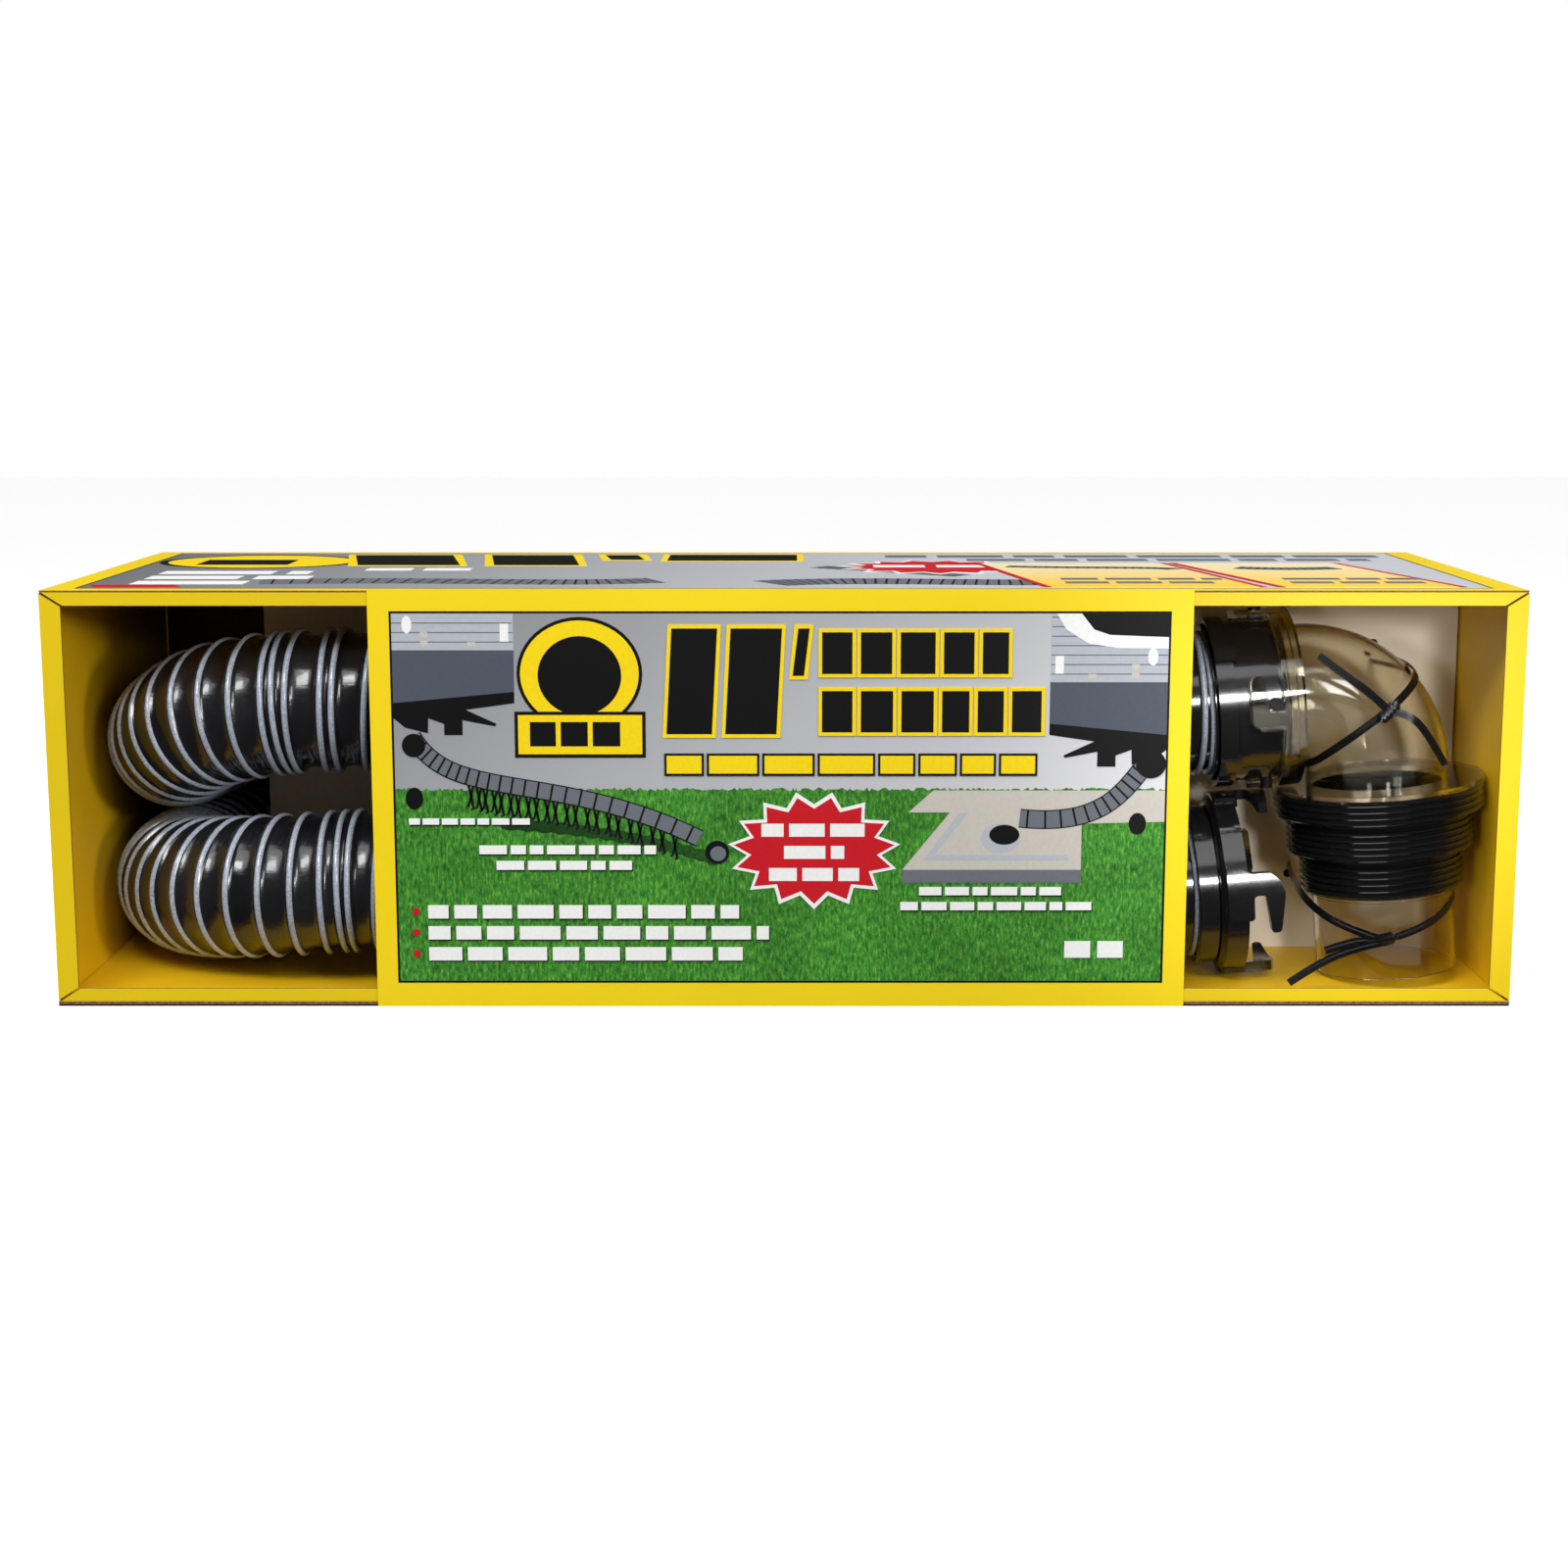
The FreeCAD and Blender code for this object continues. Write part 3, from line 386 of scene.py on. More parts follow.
def spline_points(route, resolution=24):
    """Points along the smooth curve that has the route's points as its control points."""
    data = bpy.data.curves.new("route", "CURVE")
    data.dimensions = "3D"
    data.resolution_u = resolution
    spline = data.splines.new("NURBS")
    spline.points.add(len(route) - 1)
    for point, place in zip(spline.points, route):
        point.co = (*place, 1.0)
    spline.order_u = 3
    spline.use_endpoint_u = True
    holder = bpy.data.objects.new("route", data)
    mesh = bpy.data.meshes.new_from_object(holder)
    points = []
    for vertex in mesh.vertices:
        if not points or (vertex.co - points[-1]).length > SAME_PLACE:
            points.append(vertex.co.copy())
    bpy.data.objects.remove(holder)
    bpy.data.meshes.remove(mesh)
    return points


class Centreline:
    """A curve with a frame that doesn't twist, read by distance along it."""

    def __init__(self, points):
        self.points = points
        self.marks = [0.0]
        for before, after in zip(points, points[1:]):
            self.marks.append(self.marks[-1] + (after - before).length)
        self.length = self.marks[-1]
        self.headings = []
        for index in range(len(points)):
            low = points[max(index - 1, 0)]
            high = points[min(index + 1, len(points) - 1)]
            self.headings.append((high - low).normalized())
        self.sides = [self.headings[0].cross(Vector((0, 0, 1))).normalized()]
        for before, after in zip(self.headings, self.headings[1:]):
            side = before.rotation_difference(after) @ self.sides[-1]
            self.sides.append((side - after * side.dot(after)).normalized())
        self.index = 0

    def at(self, distance):
        """The place, heading and side direction at a distance along the curve."""
        distance = min(max(distance, 0.0), self.length)
        index = min(self.index, len(self.marks) - 2)
        while index > 0 and self.marks[index] > distance:
            index -= 1
        while index < len(self.marks) - 2 and self.marks[index + 1] < distance:
            index += 1
        self.index = index
        part = (distance - self.marks[index]) / (self.marks[index + 1] - self.marks[index])
        place = self.points[index].lerp(self.points[index + 1], part)
        heading = self.headings[index].lerp(self.headings[index + 1], part).normalized()
        side = self.sides[index].lerp(self.sides[index + 1], part).normalized()
        return place, heading, side

    def curvature(self, distance, span=0.012):
        """One over the bend's radius, over a short span."""
        before, after = self.at(distance - span)[1], self.at(distance + span)[1]
        return before.angle(after) / (2 * span)

    def spread(self, distance, along_side, along_across, span=0.003):
        """How much longer the hose's surface is than its centreline, on one side."""
        ends = []
        for mark in (distance - span, distance + span):
            place, heading, side = self.at(mark)
            out = side * along_side + heading.cross(side) * along_across
            ends.append((place, place + out * HOSE_RADIUS))
        (low, low_skin), (high, high_skin) = ends
        return (high_skin - low_skin).length / (high - low).length

    def distance_to_left_of(self, x):
        """How far along the curve it first comes to the left of x."""
        return next(mark for mark, point in zip(self.marks, self.points) if point.x < x)


def loose_pitches(dice):
    """Pitches of the bead without end: wide gaps broken by close clusters."""
    while True:
        for _ in range(dice.choice((2, 3, 3, 4))):
            yield dice.uniform(*WIDE_PITCHES)
        for _ in range(dice.choice((1, 2, 2))):
            yield dice.uniform(*CLOSE_PITCHES)


def run_marks(line, start, end, dice):
    """Bead marks that fill a run; round a bend the film on the outer side limits them."""
    marks = [start]
    for pitch in loose_pitches(dice):
        if marks[-1] >= end:
            break
        bend = line.curvature(marks[-1])
        widest = FILM_REACH / (1 + HOSE_RADIUS * bend)
        marks.append(marks[-1] + (widest if bend > TAUT_BEND else min(pitch, widest)))
    stretch = (end - start) / (marks[-1] - start)
    return [start + (mark - start) * stretch for mark in marks]


def bead_marks(line, beads, seed):
    """Distances of the bead along the hose, one a turn."""
    dice = random.Random(seed)
    marks = [0.0] + run_marks(line, beads["first"], line.distance_to_left_of(beads["window"]), dice)
    for pitch in beads["pitches"]:
        marks.append(marks[-1] + pitch)
    return marks[:-1] + run_marks(line, marks[-1], line.length, dice)


def between_marks(marks, turns):
    """The distance after some turns of the bead, smooth from turn to turn."""
    turns = min(max(turns, 0.0), len(marks) - 1.0)
    index = min(int(turns), len(marks) - 2)
    part = turns - index
    here, there = marks[index], marks[index + 1]
    before = marks[max(index - 1, 0)]
    after = marks[min(index + 2, len(marks) - 1)]
    limit = 3 * (there - here)
    slope_here = min((there - before) / 2 if index else there - here, limit)
    slope_there = min((after - here) / 2 if index + 2 < len(marks) else there - here, limit)
    square, cube = part * part, part * part * part
    return (here * (2 * cube - 3 * square + 1) + slope_here * (cube - 2 * square + part)
            + there * (3 * square - 2 * cube) + slope_there * (cube - square))


def ring_profile(start, gap, spread, crease_place):
    """(distance, radius) across one bead and the film up to the next.

    spread is how much longer the surface is than the centreline, here on the bend.
    """
    rows = []
    half = BEAD_RADIUS / spread
    for step in range(BEAD_STEPS + 1):
        angle = pi * (step / BEAD_STEPS - 0.5)
        rows.append((start + half * sin(angle),
                     HOSE_RADIUS - BEAD_RADIUS * (1 - cos(angle))))
    film_start = start + half
    film_length = max(gap - 2 * half, SHORTEST_FILM)
    sink = FILM_SINK + LONG_FILM_SINK * min(film_length / LONG_FILM, 1.0)
    wrinkle = WRINKLE + END_WRINKLE * max(0.0, 1 - start / END_REACH)
    for step in range(1, FILM_STEPS):
        part = step / FILM_STEPS
        shoulder = sin(pi * part) ** 0.55
        crease = noise.noise(crease_place * 22 + Vector((part * 1.3, 0, 0))) * wrinkle
        rows.append((film_start + film_length * part,
                     HOSE_RADIUS - BEAD_RADIUS - sink * shoulder + crease * shoulder))
    return rows


def make_hose(name, route, beads, seed, materials):
    """A hose: film and a silver bead that winds along it as one helix."""
    line = Centreline(spline_points(route))
    marks = bead_marks(line, beads, seed)
    columns = len(marks) * ROUND_STEPS
    rows = BEAD_STEPS + FILM_STEPS
    points = []
    for column in range(columns + 1):
        wound = column / ROUND_STEPS - 0.5
        start = between_marks(marks, wound)
        gap = between_marks(marks, wound + 1) - start
        angle = pi - 2 * pi * wound
        spread = max(line.spread(start, cos(angle), sin(angle)), 0.6)
        crease_place = Vector((wound * 0.2, cos(angle), sin(angle)))
        for distance, radius in ring_profile(start, gap, spread, crease_place):
            place, heading, side = line.at(distance)
            across = heading.cross(side)
            points.append(place + side * (radius * cos(angle))
                          + across * (radius * sin(angle)))
    faces, slots = [], []
    for column in range(columns):
        base, following = column * rows, (column + 1) * rows
        for row in range(rows - 1):
            faces.append((base + row, following + row, following + row + 1, base + row + 1))
            slots.append(int(row < BEAD_STEPS))
        if column + ROUND_STEPS < columns:
            turn_on = (column + ROUND_STEPS) * rows
            faces.append((base + rows - 1, following + rows - 1, turn_on + rows, turn_on))
            slots.append(0)
    return mesh_object(name, points, faces, materials, slots), line


def mesh_object(name, points, faces, materials, slots=None, smooth=True):
    """A mesh object in the scene, with each face's material index."""
    mesh = bpy.data.meshes.new(name)
    mesh.from_pydata(points, [], faces)
    piece = bpy.data.objects.new(name, mesh)
    scene.collection.objects.link(piece)
    for material in materials:
        mesh.materials.append(material)
    if slots:
        mesh.polygons.foreach_set("material_index", slots)
    mesh.polygons.foreach_set("use_smooth", [smooth] * len(faces))
    return piece


def hose_film_material():
    """Black film, glossy, with fine creases that run along the hose."""
    material, shader = principled("hose_film", (0.006, 0.006, 0.007), 0.2, Coat_Weight=0.45,
                                  Coat_Roughness=0.08)
    smudge = noise_texture(material, 28.0)
    tint(material, shader, ramp(material, smudge, [(0.3, (0.004, 0.004, 0.005)),
                                                   (0.7, (0.011, 0.011, 0.013))]))
    link(material, ramp(material, smudge, [(0.3, grey(0.15)), (0.75, grey(0.32))]),
         shader.inputs["Roughness"])
    creases = noise_texture(material, 230.0, 3.0, (0.35, 1, 1))
    bump(material, shader, creases, 0.35, 0.0007)
    return material


def hose_bead_material():
    """The silver-grey cover of the bead's wire."""
    material, shader = principled("hose_bead", ink(140, 148, 160), 0.26, Coat_Weight=0.5,
                                  Coat_Roughness=0.12)
    fleck = noise_texture(material, 900.0, 2.0)
    tint(material, shader,
         ramp(material, fleck, [(0.35, ink(130, 137, 148)), (0.7, ink(168, 176, 188))]))
    return material


def make_hoses():
    materials = [hose_film_material(), hose_bead_material()]
    for hose_name, route, beads, seed, fitting in (
            ("upper_hose", UPPER_ROUTE, UPPER_BEADS, 4, "upper_back"),
            ("lower_hose", LOWER_ROUTE, LOWER_BEADS, 9, "lower_back")):
        hose, line = make_hose(hose_name + "_ribbed", route, beads, seed, materials)
        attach(hose, "carton")
        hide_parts(hose_name)
        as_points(line.points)


# ---- the twist ties

TIE_WIDTH = 0.0042
TIE_EDGE = 0.00035  # half the thickness of the flat strip
TIE_CORE = 0.0007  # half the thickness over the wire


def strip(route, centre):
    """Points and faces of a flat strip with a wire core, its back to a centre point."""
    line = Centreline(spline_points(route, 10))
    half = TIE_WIDTH / 2
    upper = [(-half, TIE_EDGE), (-TIE_CORE, TIE_EDGE), (-TIE_CORE / 2, TIE_CORE),
             (TIE_CORE / 2, TIE_CORE), (TIE_CORE, TIE_EDGE), (half, TIE_EDGE)]
    outline = upper + [(-across, -height) for across, height in upper]
    points, faces = [], []
    count = len(outline)
    for place, heading in zip(line.points, line.headings):
        out = place - centre
        out = (out - heading * out.dot(heading)).normalized()
        side = heading.cross(out)
        points += [place + side * across + out * height for across, height in outline]
    for ring in range(len(line.points) - 1):
        for step in range(count):
            turn = (step + 1) % count
            first, second = ring * count, (ring + 1) * count
            faces.append((first + step, second + step, second + turn, first + turn))
    faces.append(tuple(range(count)))
    faces.append(tuple(range(len(points) - 1, len(points) - 1 - count, -1)))
    return points, faces


def twisted_knot(start, end, turns=2.5, radius=0.0016):
    """Routes of the two strips that are twisted round each other."""
    axis = (end - start).normalized()
    side = axis.cross(Vector((0, 1, 0))).normalized()
    across = axis.cross(side)
    steps = int(turns * 8)
    routes = []
    for phase in (0.0, pi):
        route = []
        for step in range(steps + 1):
            angle = phase + turns * 2 * pi * step / steps
            out = side * (radius * cos(angle)) + across * (radius * sin(angle))
            route.append(start.lerp(end, step / steps) + out)
        routes.append(route)
    return routes


def make_tie(name, node, centre, routes, knot, material):
    """A twist tie, in millimetres: strips round a pipe, their twist, and its loose tails."""
    centre = Vector(centre) * MM
    points, faces = [], []
    routes = [[Vector(place) * MM for place in route] for route in routes]
    for route in routes + twisted_knot(Vector(knot[0]) * MM, Vector(knot[1]) * MM):
        more_points, more_faces = strip(route, centre)
        faces += [tuple(index + len(points) for index in face) for face in more_faces]
        points += more_points
    tie = mesh_object(name, points, faces, [material], smooth=False)
    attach(tie, "elbow")
    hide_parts(node)


def make_ties():
    """The elbow's tie goes round its bend; the spigot's hangs in front, under the thread."""
    material = varied("tie_strip", (0.004, 0.004, 0.0045), 0.22, 0.2, 600.0, 0.00006,
                      Specular_IOR_Level=0.3)
    make_tie("elbow_twist_tie", "elbow_tie", (312.5, -67.5, 151), [
        [(289, -8, 126), (285, -50, 121), (286.5, -88, 124), (299, -108.5, 138.5),
         (313, -112, 150), (323.6, -110, 157.5)],
        [(323.6, -110, 157.5), (336, -106, 168), (344, -90, 176), (344, -50, 178), (340, -8, 176)],
        [(323.6, -112.5, 157.5), (312, -115, 168), (296, -115.5, 179), (284.1, -116, 187.8)],
        [(323.6, -112.5, 157.5), (333, -115, 157), (344, -115, 146), (354.4, -113, 128.7)],
    ], ((319, -112.5, 153), (327.5, -112.5, 161.5)), material)
    make_tie("spigot_twist_tie", "spigot_tie", (334, -67.5, 40), [
        [(294.5, -5, 52.7), (289.5, -40, 52), (290, -80, 46), (303.4, -106, 37.9),
         (326.5, -110, 31.4)],
        [(326.5, -110, 31.4), (348, -108.5, 37), (370, -90, 49), (376.5, -50, 54), (373.5, -5, 55)],
        [(326.5, -112.5, 31.4), (315, -115, 33), (303, -114.5, 30), (293.6, -114, 26.6)],
        [(326.5, -112.5, 31), (310, -117, 29), (290, -118, 21), (273.7, -118, 9.6)],
    ], ((321.5, -112, 31), (331.5, -112, 33.5)), material)


# ---- printed boards

PRINTED = {"roughness": 0.45, "Specular_IOR_Level": 0.2}
LAYER = 0.00003  # each printed shape stands this much above the one before it
PRINT_RELIEF = 0.0009  # between a board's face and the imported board's
PRINT_ROOT = -0.0003  # how far a printed shape reaches into its board


class Board:
    """A board whose printed shapes are thin closed plates on its face.

    to_place turns (across, up, height above the print's lowest face) into a point.
    """

    def __init__(self, name, to_place, deepest, inks):
        self.name = name
        self.inks = inks
        self.to_place = to_place
        self.deepest = deepest
        self.points, self.faces, self.slots, self.materials = [], [], [], []
        self.height = 0.0

    def shape(self, outline, material, step=True):
        """Print a shape, given in millimetres anticlockwise, above the shapes before it.

        material is the name of one of the board's inks, or a material of its own.
        """
        if step:
            self.height += LAYER
        material = self.inks.get(material, material)
        if material not in self.materials:
            self.materials.append(material)
        base, count = len(self.points), len(outline)
        root = PRINT_ROOT if base else self.deepest
        for height in (root, self.height):
            self.points += [self.to_place(across * MM, up * MM, height) for across, up in outline]
        self.faces.append(tuple(base + count + step for step in range(count)))
        self.faces.append(tuple(base + count - 1 - step for step in range(count)))
        for step in range(count):
            turn = (step + 1) % count
            self.faces.append((base + step, base + turn, base + count + turn, base + count + step))
        self.slots += [self.materials.index(material)] * (count + 2)

    def start_at(self, layers):
        """Print the next shape on this many layers."""
        self.height = layers * LAYER

    def shapes(self, outlines, material):
        """Print shapes that don't overlap, all at one height."""
        self.height += LAYER
        for outline in outlines:
            self.shape(outline, material, step=False)

    def make(self, body, node):
        piece = mesh_object(self.name, self.points, self.faces, self.materials, self.slots, False)
        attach(piece, body)
        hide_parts(node)


def rect(left, bottom, right, top, lean=0.0):
    """A rectangle, or one whose top is pushed along."""
    return [(left, bottom), (right, bottom), (right + lean, top), (left + lean, top)]


def grown(outline, border):
    """A convex outline grown by a border, from its middle."""
    middle_x = sum(point[0] for point in outline) / len(outline)
    middle_y = sum(point[1] for point in outline) / len(outline)
    return [(x + copysign(border, x - middle_x), y + copysign(border, y - middle_y))
            for x, y in outline]


def oval(middle_x, middle_y, half_width, half_height, sides=48):
    return [(middle_x + half_width * cos(2 * pi * side / sides),
             middle_y + half_height * sin(2 * pi * side / sides))
            for side in range(sides)]


def starburst(middle_x, middle_y, half_width, half_height, spikes=15, depth=0.78):
    points = []
    for step in range(2 * spikes):
        reach = depth if step % 2 else 1.0
        angle = pi * (step + 0.5) / spikes
        points.append((middle_x + half_width * reach * cos(angle),
                       middle_y + half_height * reach * sin(angle)))
    return points


def ribbon(middle, width):
    """An outline along a line of points; width is one number or one for each point."""
    widths = width if isinstance(width, (list, tuple)) else [width] * len(middle)
    right, left = [], []
    for index, (x, y) in enumerate(middle):
        before, after = middle[max(index - 1, 0)], middle[min(index + 1, len(middle) - 1)]
        run_x, run_y = after[0] - before[0], after[1] - before[1]
        length = hypot(run_x, run_y)
        across_x, across_y = run_y / length * widths[index] / 2, -run_x / length * widths[index] / 2
        right.append((x + across_x, y + across_y))
        left.append((x - across_x, y - across_y))
    return right + left[::-1]


def curved(controls, steps=30):
    """Points along a Bezier curve through plane control points."""
    points = []
    for step in range(steps + 1):
        part = step / steps
        level = list(controls)
        while len(level) > 1:
            level = [(ax + (bx - ax) * part, ay + (by - ay) * part)
                     for (ax, ay), (bx, by) in zip(level, level[1:])]
        points.append(level[0])
    return points


def word_blocks(left, bottom, right, top, seed, widest=3.2, narrowest=1.5, gap=0.42):
    """Blocks that stand for a line of words, with no letters in them.

    widest, narrowest and gap are in times the line's height.
    """
    dice = random.Random(seed)
    tall = top - bottom
    blocks, x = [], left
    while x < right - tall * 0.6:
        width = min(tall * dice.uniform(narrowest, widest), right - x)
        blocks.append(rect(x, bottom, x + width, top))
        x += width + tall * gap
    return blocks


def all_blocks(lines):
    """The blocks of several lines, each (left, bottom, right, top, seed)."""
    return [block for line in lines for block in word_blocks(*line)]


def print_words(board, blocks, material, border_material, border):
    """Word blocks with a border round each."""
    board.shapes([grown(block, border) for block in blocks], border_material)
    board.shapes(blocks, material)


def ragged_top(left, right, bottom, top, seed, step=1.3, swing=2.0):
    """A field whose top edge is ragged, like grass."""
    dice = random.Random(seed)
    edge, x = [], right
    while x > left:
        edge.append((x, top + dice.uniform(-swing, swing) * 0.5))
        x -= step * dice.uniform(0.5, 1.5)
    return [(left, bottom), (right, bottom)] + edge + [(left, top)]


# ---- the front panel and the lid


def gradient(name, direction, start, end, stops, grain=0.0):
    """A print whose colour runs along a direction, with a little grain."""
    material, shader = principled(name, stops[0][1], **PRINTED)
    color = ramp(material, along(material, direction, start, end), stops)
    if grain:
        speck = noise_texture(material, 620.0, 3.0)
        shade = ramp(material, speck, [(0.3, grey(1 - grain)), (0.7, grey(1.0))])
        color = mixed(material, 1.0, color, shade, "MULTIPLY")
    tint(material, shader, color)
    bump(material, shader, noise_texture(material, 320.0, 2.0), 0.12, 0.00004)
    return material


def grass_print():
    """Short grass: blades of several greens, darker in patches."""
    material, shader = principled("grass_print", ink(70, 150, 50), **PRINTED)
    blades = noise_texture(material, 640.0, 5.0, (1.0, 1.0, 0.34), 0.7)
    patches = noise_texture(material, 42.0, 3.0)
    green = ramp(material, blades, [(0.30, ink(24, 66, 24)), (0.44, ink(48, 112, 38)),
                                    (0.56, ink(72, 146, 48)), (0.72, ink(140, 182, 76))])
    shade = ramp(material, patches, [(0.32, grey(0.72)), (0.68, grey(1.0))])
    tint(material, shader, mixed(material, 1.0, green, shade, "MULTIPLY"))
    return material


PICTURE_LEFT, PICTURE_RIGHT = -205.8, 201.8
PICTURE_LOW, PICTURE_TOP = 14.2, 211.8
LAWN_TOP = 118.5
BLOCK_LEAN = 3  # how far the tops of the front's big blocks are pushed along
FRONT_LIGHT = 0.78  # the front's and the lid's inks are darkened for the light on them
LID_LIGHT = 0.84


def print_ink(name, color, shade):
    """One flat ink under varnish, with the faint grain of coated board."""
    shaded = tuple(part * shade for part in color)
    material, shader = principled(name, shaded, **PRINTED)
    grain = noise_texture(material, 500.0, 2.0)
    darker = tuple(part * 0.94 for part in shaded)
    tint(material, shader, ramp(material, grain, [(0.3, darker), (0.7, shaded)]))
    bump(material, shader, grain, 0.15, 0.00003)
    return material


def print_inks(board, shade):
    """The inks of a board."""
    paints = {"yellow": (255, 222, 22), "black": (16, 16, 18), "white": (250, 250, 248),
              "red": (208, 26, 38), "grey": (112, 116, 124), "pale": (206, 200, 190),
              "silver": (186, 191, 199), "skirt": (84, 90, 102)}
    return {name: print_ink(f"{board}_{name}", ink(*paint), shade)
            for name, paint in paints.items()}


def print_caravan(board, side, inner, outer, base):
    """The corner of a plain caravan: body panels, a skirt and what hangs under it.

    side is 1 when the caravan's corner is at its right, and -1 when at its left; base is the
    height of its body's lowest edge.
    """
    def plate(first, low, second, high):
        return rect(min(first, second), low, max(first, second), high)

    def hung(points):
        """An outline from how far in each point is, and how far above the base."""
        outline = [(outer + side * inward, base + above) for inward, above in points]
        return outline if side > 0 else outline[::-1]

    width = abs(inner - outer)
    board.shape(plate(outer, base, inner, PICTURE_TOP), "silver")
    board.shapes([plate(outer, base + rise, inner - side * 0.5, base + rise + 0.6)
                  for rise in range(4, int(PICTURE_TOP - base), 5)], "grey")
    board.shapes([oval(outer + side * 8, base + 13.5, 2.6, 4.6),
                  plate(inner - side * 7, base + 4.5, inner - side * 2.5, base + 14)], "white")
    board.shapes([plate(outer + side * 15, base + 6.5, outer + side * 19, base + 9.5),
                  plate(outer + side * 15, base + 2, outer + side * 19, base + 5),
                  plate(inner - side * 24, base + 2, inner - side * 20, base + 4.4)], "pale")
    board.shape(hung([(0, -24), (0, -36), (6, -41), (18, -44), (18.3, -36), (26.6, -39),
                      (26.6, -45), (36.3, -45), (36.3, -37), (53.5, -40.3), (54.2, -39),
                      (38, -31.5), (width, -28), (width, -20)]), "black")
    board.shape(hung([(0, -28), (width, -22), (width, 0), (0, 0)]), "skirt")


def print_hose(board, middle, width, ring_step=5):
    """A small corrugated hose along a line of points."""
    board.shape(ribbon(middle, width + 1.2), "black")
    board.shape(ribbon(middle, width), "grey")
    rings = []
    for index in range(2, len(middle) - 1, ring_step):
        (x, y), (next_x, next_y) = middle[index], middle[index + 1]
        length = hypot(next_x - x, next_y - y)
        run_x, run_y = (next_x - x) / length, (next_y - y) / length
        reach, half = width / 2, 0.55
        corners = ((-half, reach), (half, reach), (half, -reach), (-half, -reach))
        rings.append([(x + run_x * on + run_y * out, y + run_y * on - run_x * out)
                      for on, out in corners])
    board.shapes(rings, "black")


def print_sky_and_lawn(board):
    sky = gradient("sky_print", (0.6, 0.0, -0.8), -0.30, 0.04,
                   [(0.0, ink(118, 119, 123)), (0.45, ink(160, 161, 164)), (1.0, ink(200, 200, 203))])
    board.shape(rect(PICTURE_LEFT, PICTURE_LOW, PICTURE_RIGHT, PICTURE_TOP), sky)
    board.shape(ragged_top(PICTURE_LEFT, PICTURE_RIGHT, PICTURE_LOW, LAWN_TOP, 3), grass_print())


def print_caravans(board):
    """A caravan's corner at each side of the picture; the right one has a window at its top."""
    for side, inner, outer, base in ((1, -142, PICTURE_LEFT, 192.5), (-1, 140, PICTURE_RIGHT, 175.6)):
        board.start_at(5)
        print_caravan(board, side, inner, outer, base)
    top_corner = (PICTURE_RIGHT, PICTURE_TOP)
    board.shape([(143, PICTURE_TOP), (148, 203.5), (160, 196), (176, 193.6),
                 (PICTURE_RIGHT, 193.4), top_corner], "white")
    board.shape([(156, PICTURE_TOP), (162.6, 203.4), (171, 200.6),
                 (PICTURE_RIGHT, 199.4), top_corner], "black")


def print_supported_hose(board):
    """The hose on the left, on the thin crossed legs of its support."""
    shadow = gradient("lawn_shadow", (1.0, 0.0, 0.0), -0.2, 0.0,
                      [(0.0, ink(18, 44, 18)), (1.0, ink(40, 92, 34))], grain=0.5)
    shadow_widths = [5 + step % 2 * 2 for step in range(31)]
    board.shape(ribbon(curved([(-150, 100), (-80, 96), (-35, 80)]), shadow_widths), shadow)
    hose = curved([(-196, 147), (-180, 118), (-150, 122), (-95, 118), (-45, 92)], 120)
    legs = []
    for step in range(22):
        x, y = hose[38 + 4 * step - step // 2]
        legs.append(ribbon([(x - 1.5, y), (x + 1.8, y - 17), (x + 0.5, y - 17.5)], 1.3))
        legs.append(ribbon([(x + 3.0, y), (x - 0.6, y - 15), (x - 1.6, y - 16)], 1.1))
    board.shapes(legs, "black")
    print_hose(board, hose, 8.2)
    board.shapes([oval(-35.5, 84.5, 6.4, 6.2), oval(-195.5, 142, 6.2, 6.2)], "black")
    board.shape(oval(-35.0, 83.8, 4.2, 4.0), "grey")


def print_slab_and_hose(board):
    """The pale slab with its drain, the hose that runs into it, and two hanging caps."""
    board.start_at(12)
    board.shape(rect(63, 68, 158, 76), "grey")
    board.shape([(63, 75), (158, 75), (158, 100), (PICTURE_RIGHT, 101), (PICTURE_RIGHT, 117.8),
                 (79, 117.8), (66, 106), (88, 106)], "pale")
    board.shape([(74, 80), (151, 80), (151, 83), (80, 83), (98, 106), (93, 106)], "silver")
    board.shape(oval(115, 92, 10.5, 8.0), "silver")
    board.shape(oval(117, 94, 8.0, 5.4), "black")
    print_hose(board, curved([(125, 103), (170, 98), (180, 118), (192, 133)], 64), 9.0)
    board.shape(oval(194, 132, 8.0, 7.6), "black")
    board.shapes([oval(187.5, 100, 4.6, 5.8), oval(-195.8, 113.6, 4.6, 5.8)], "black")


def print_disc_and_plate(board):
    """A plain disc over a plain plate."""
    board.start_at(12)
    board.shape(oval(-107.5, 180, 33.0, 30.0), "black")
    board.shape(oval(-107.5, 180, 31.2, 28.2), "yellow")
    board.shape(oval(-107.5, 179, 22.0, 21.0), "black")
    board.shape(rect(-142, 135.5, -73, 160), "black")
    board.shape(rect(-140.2, 137.3, -74.8, 158.2), "yellow")
    board.shapes(word_blocks(-134, 141.5, -81, 154.5, 5, 1.2, 0.8, 0.2), "black")


def print_title(board):
    """The big bordered blocks, two lines of smaller ones and a line of yellow ones."""
    board.start_at(20)
    big = [(-62, 148, -38, 204), (-31, 148, -4, 204), (4.5, 179, 10.5, 204)]
    print_words(board, [rect(*block, BLOCK_LEAN) for block in big], "black", "yellow", 2.0)
    for left_end, low_edge, right_end, seed in ((20, 180, 118, 11), (20, 149, 147, 12)):
        blocks = word_blocks(left_end, low_edge, right_end, low_edge + 22, seed, 0.85, 0.62, 0.2)
        print_words(board, blocks, "black", "yellow", 1.9)
    print_words(board, word_blocks(-62, 127, 142, 136.5, 13), "yellow", "black", 1.2)


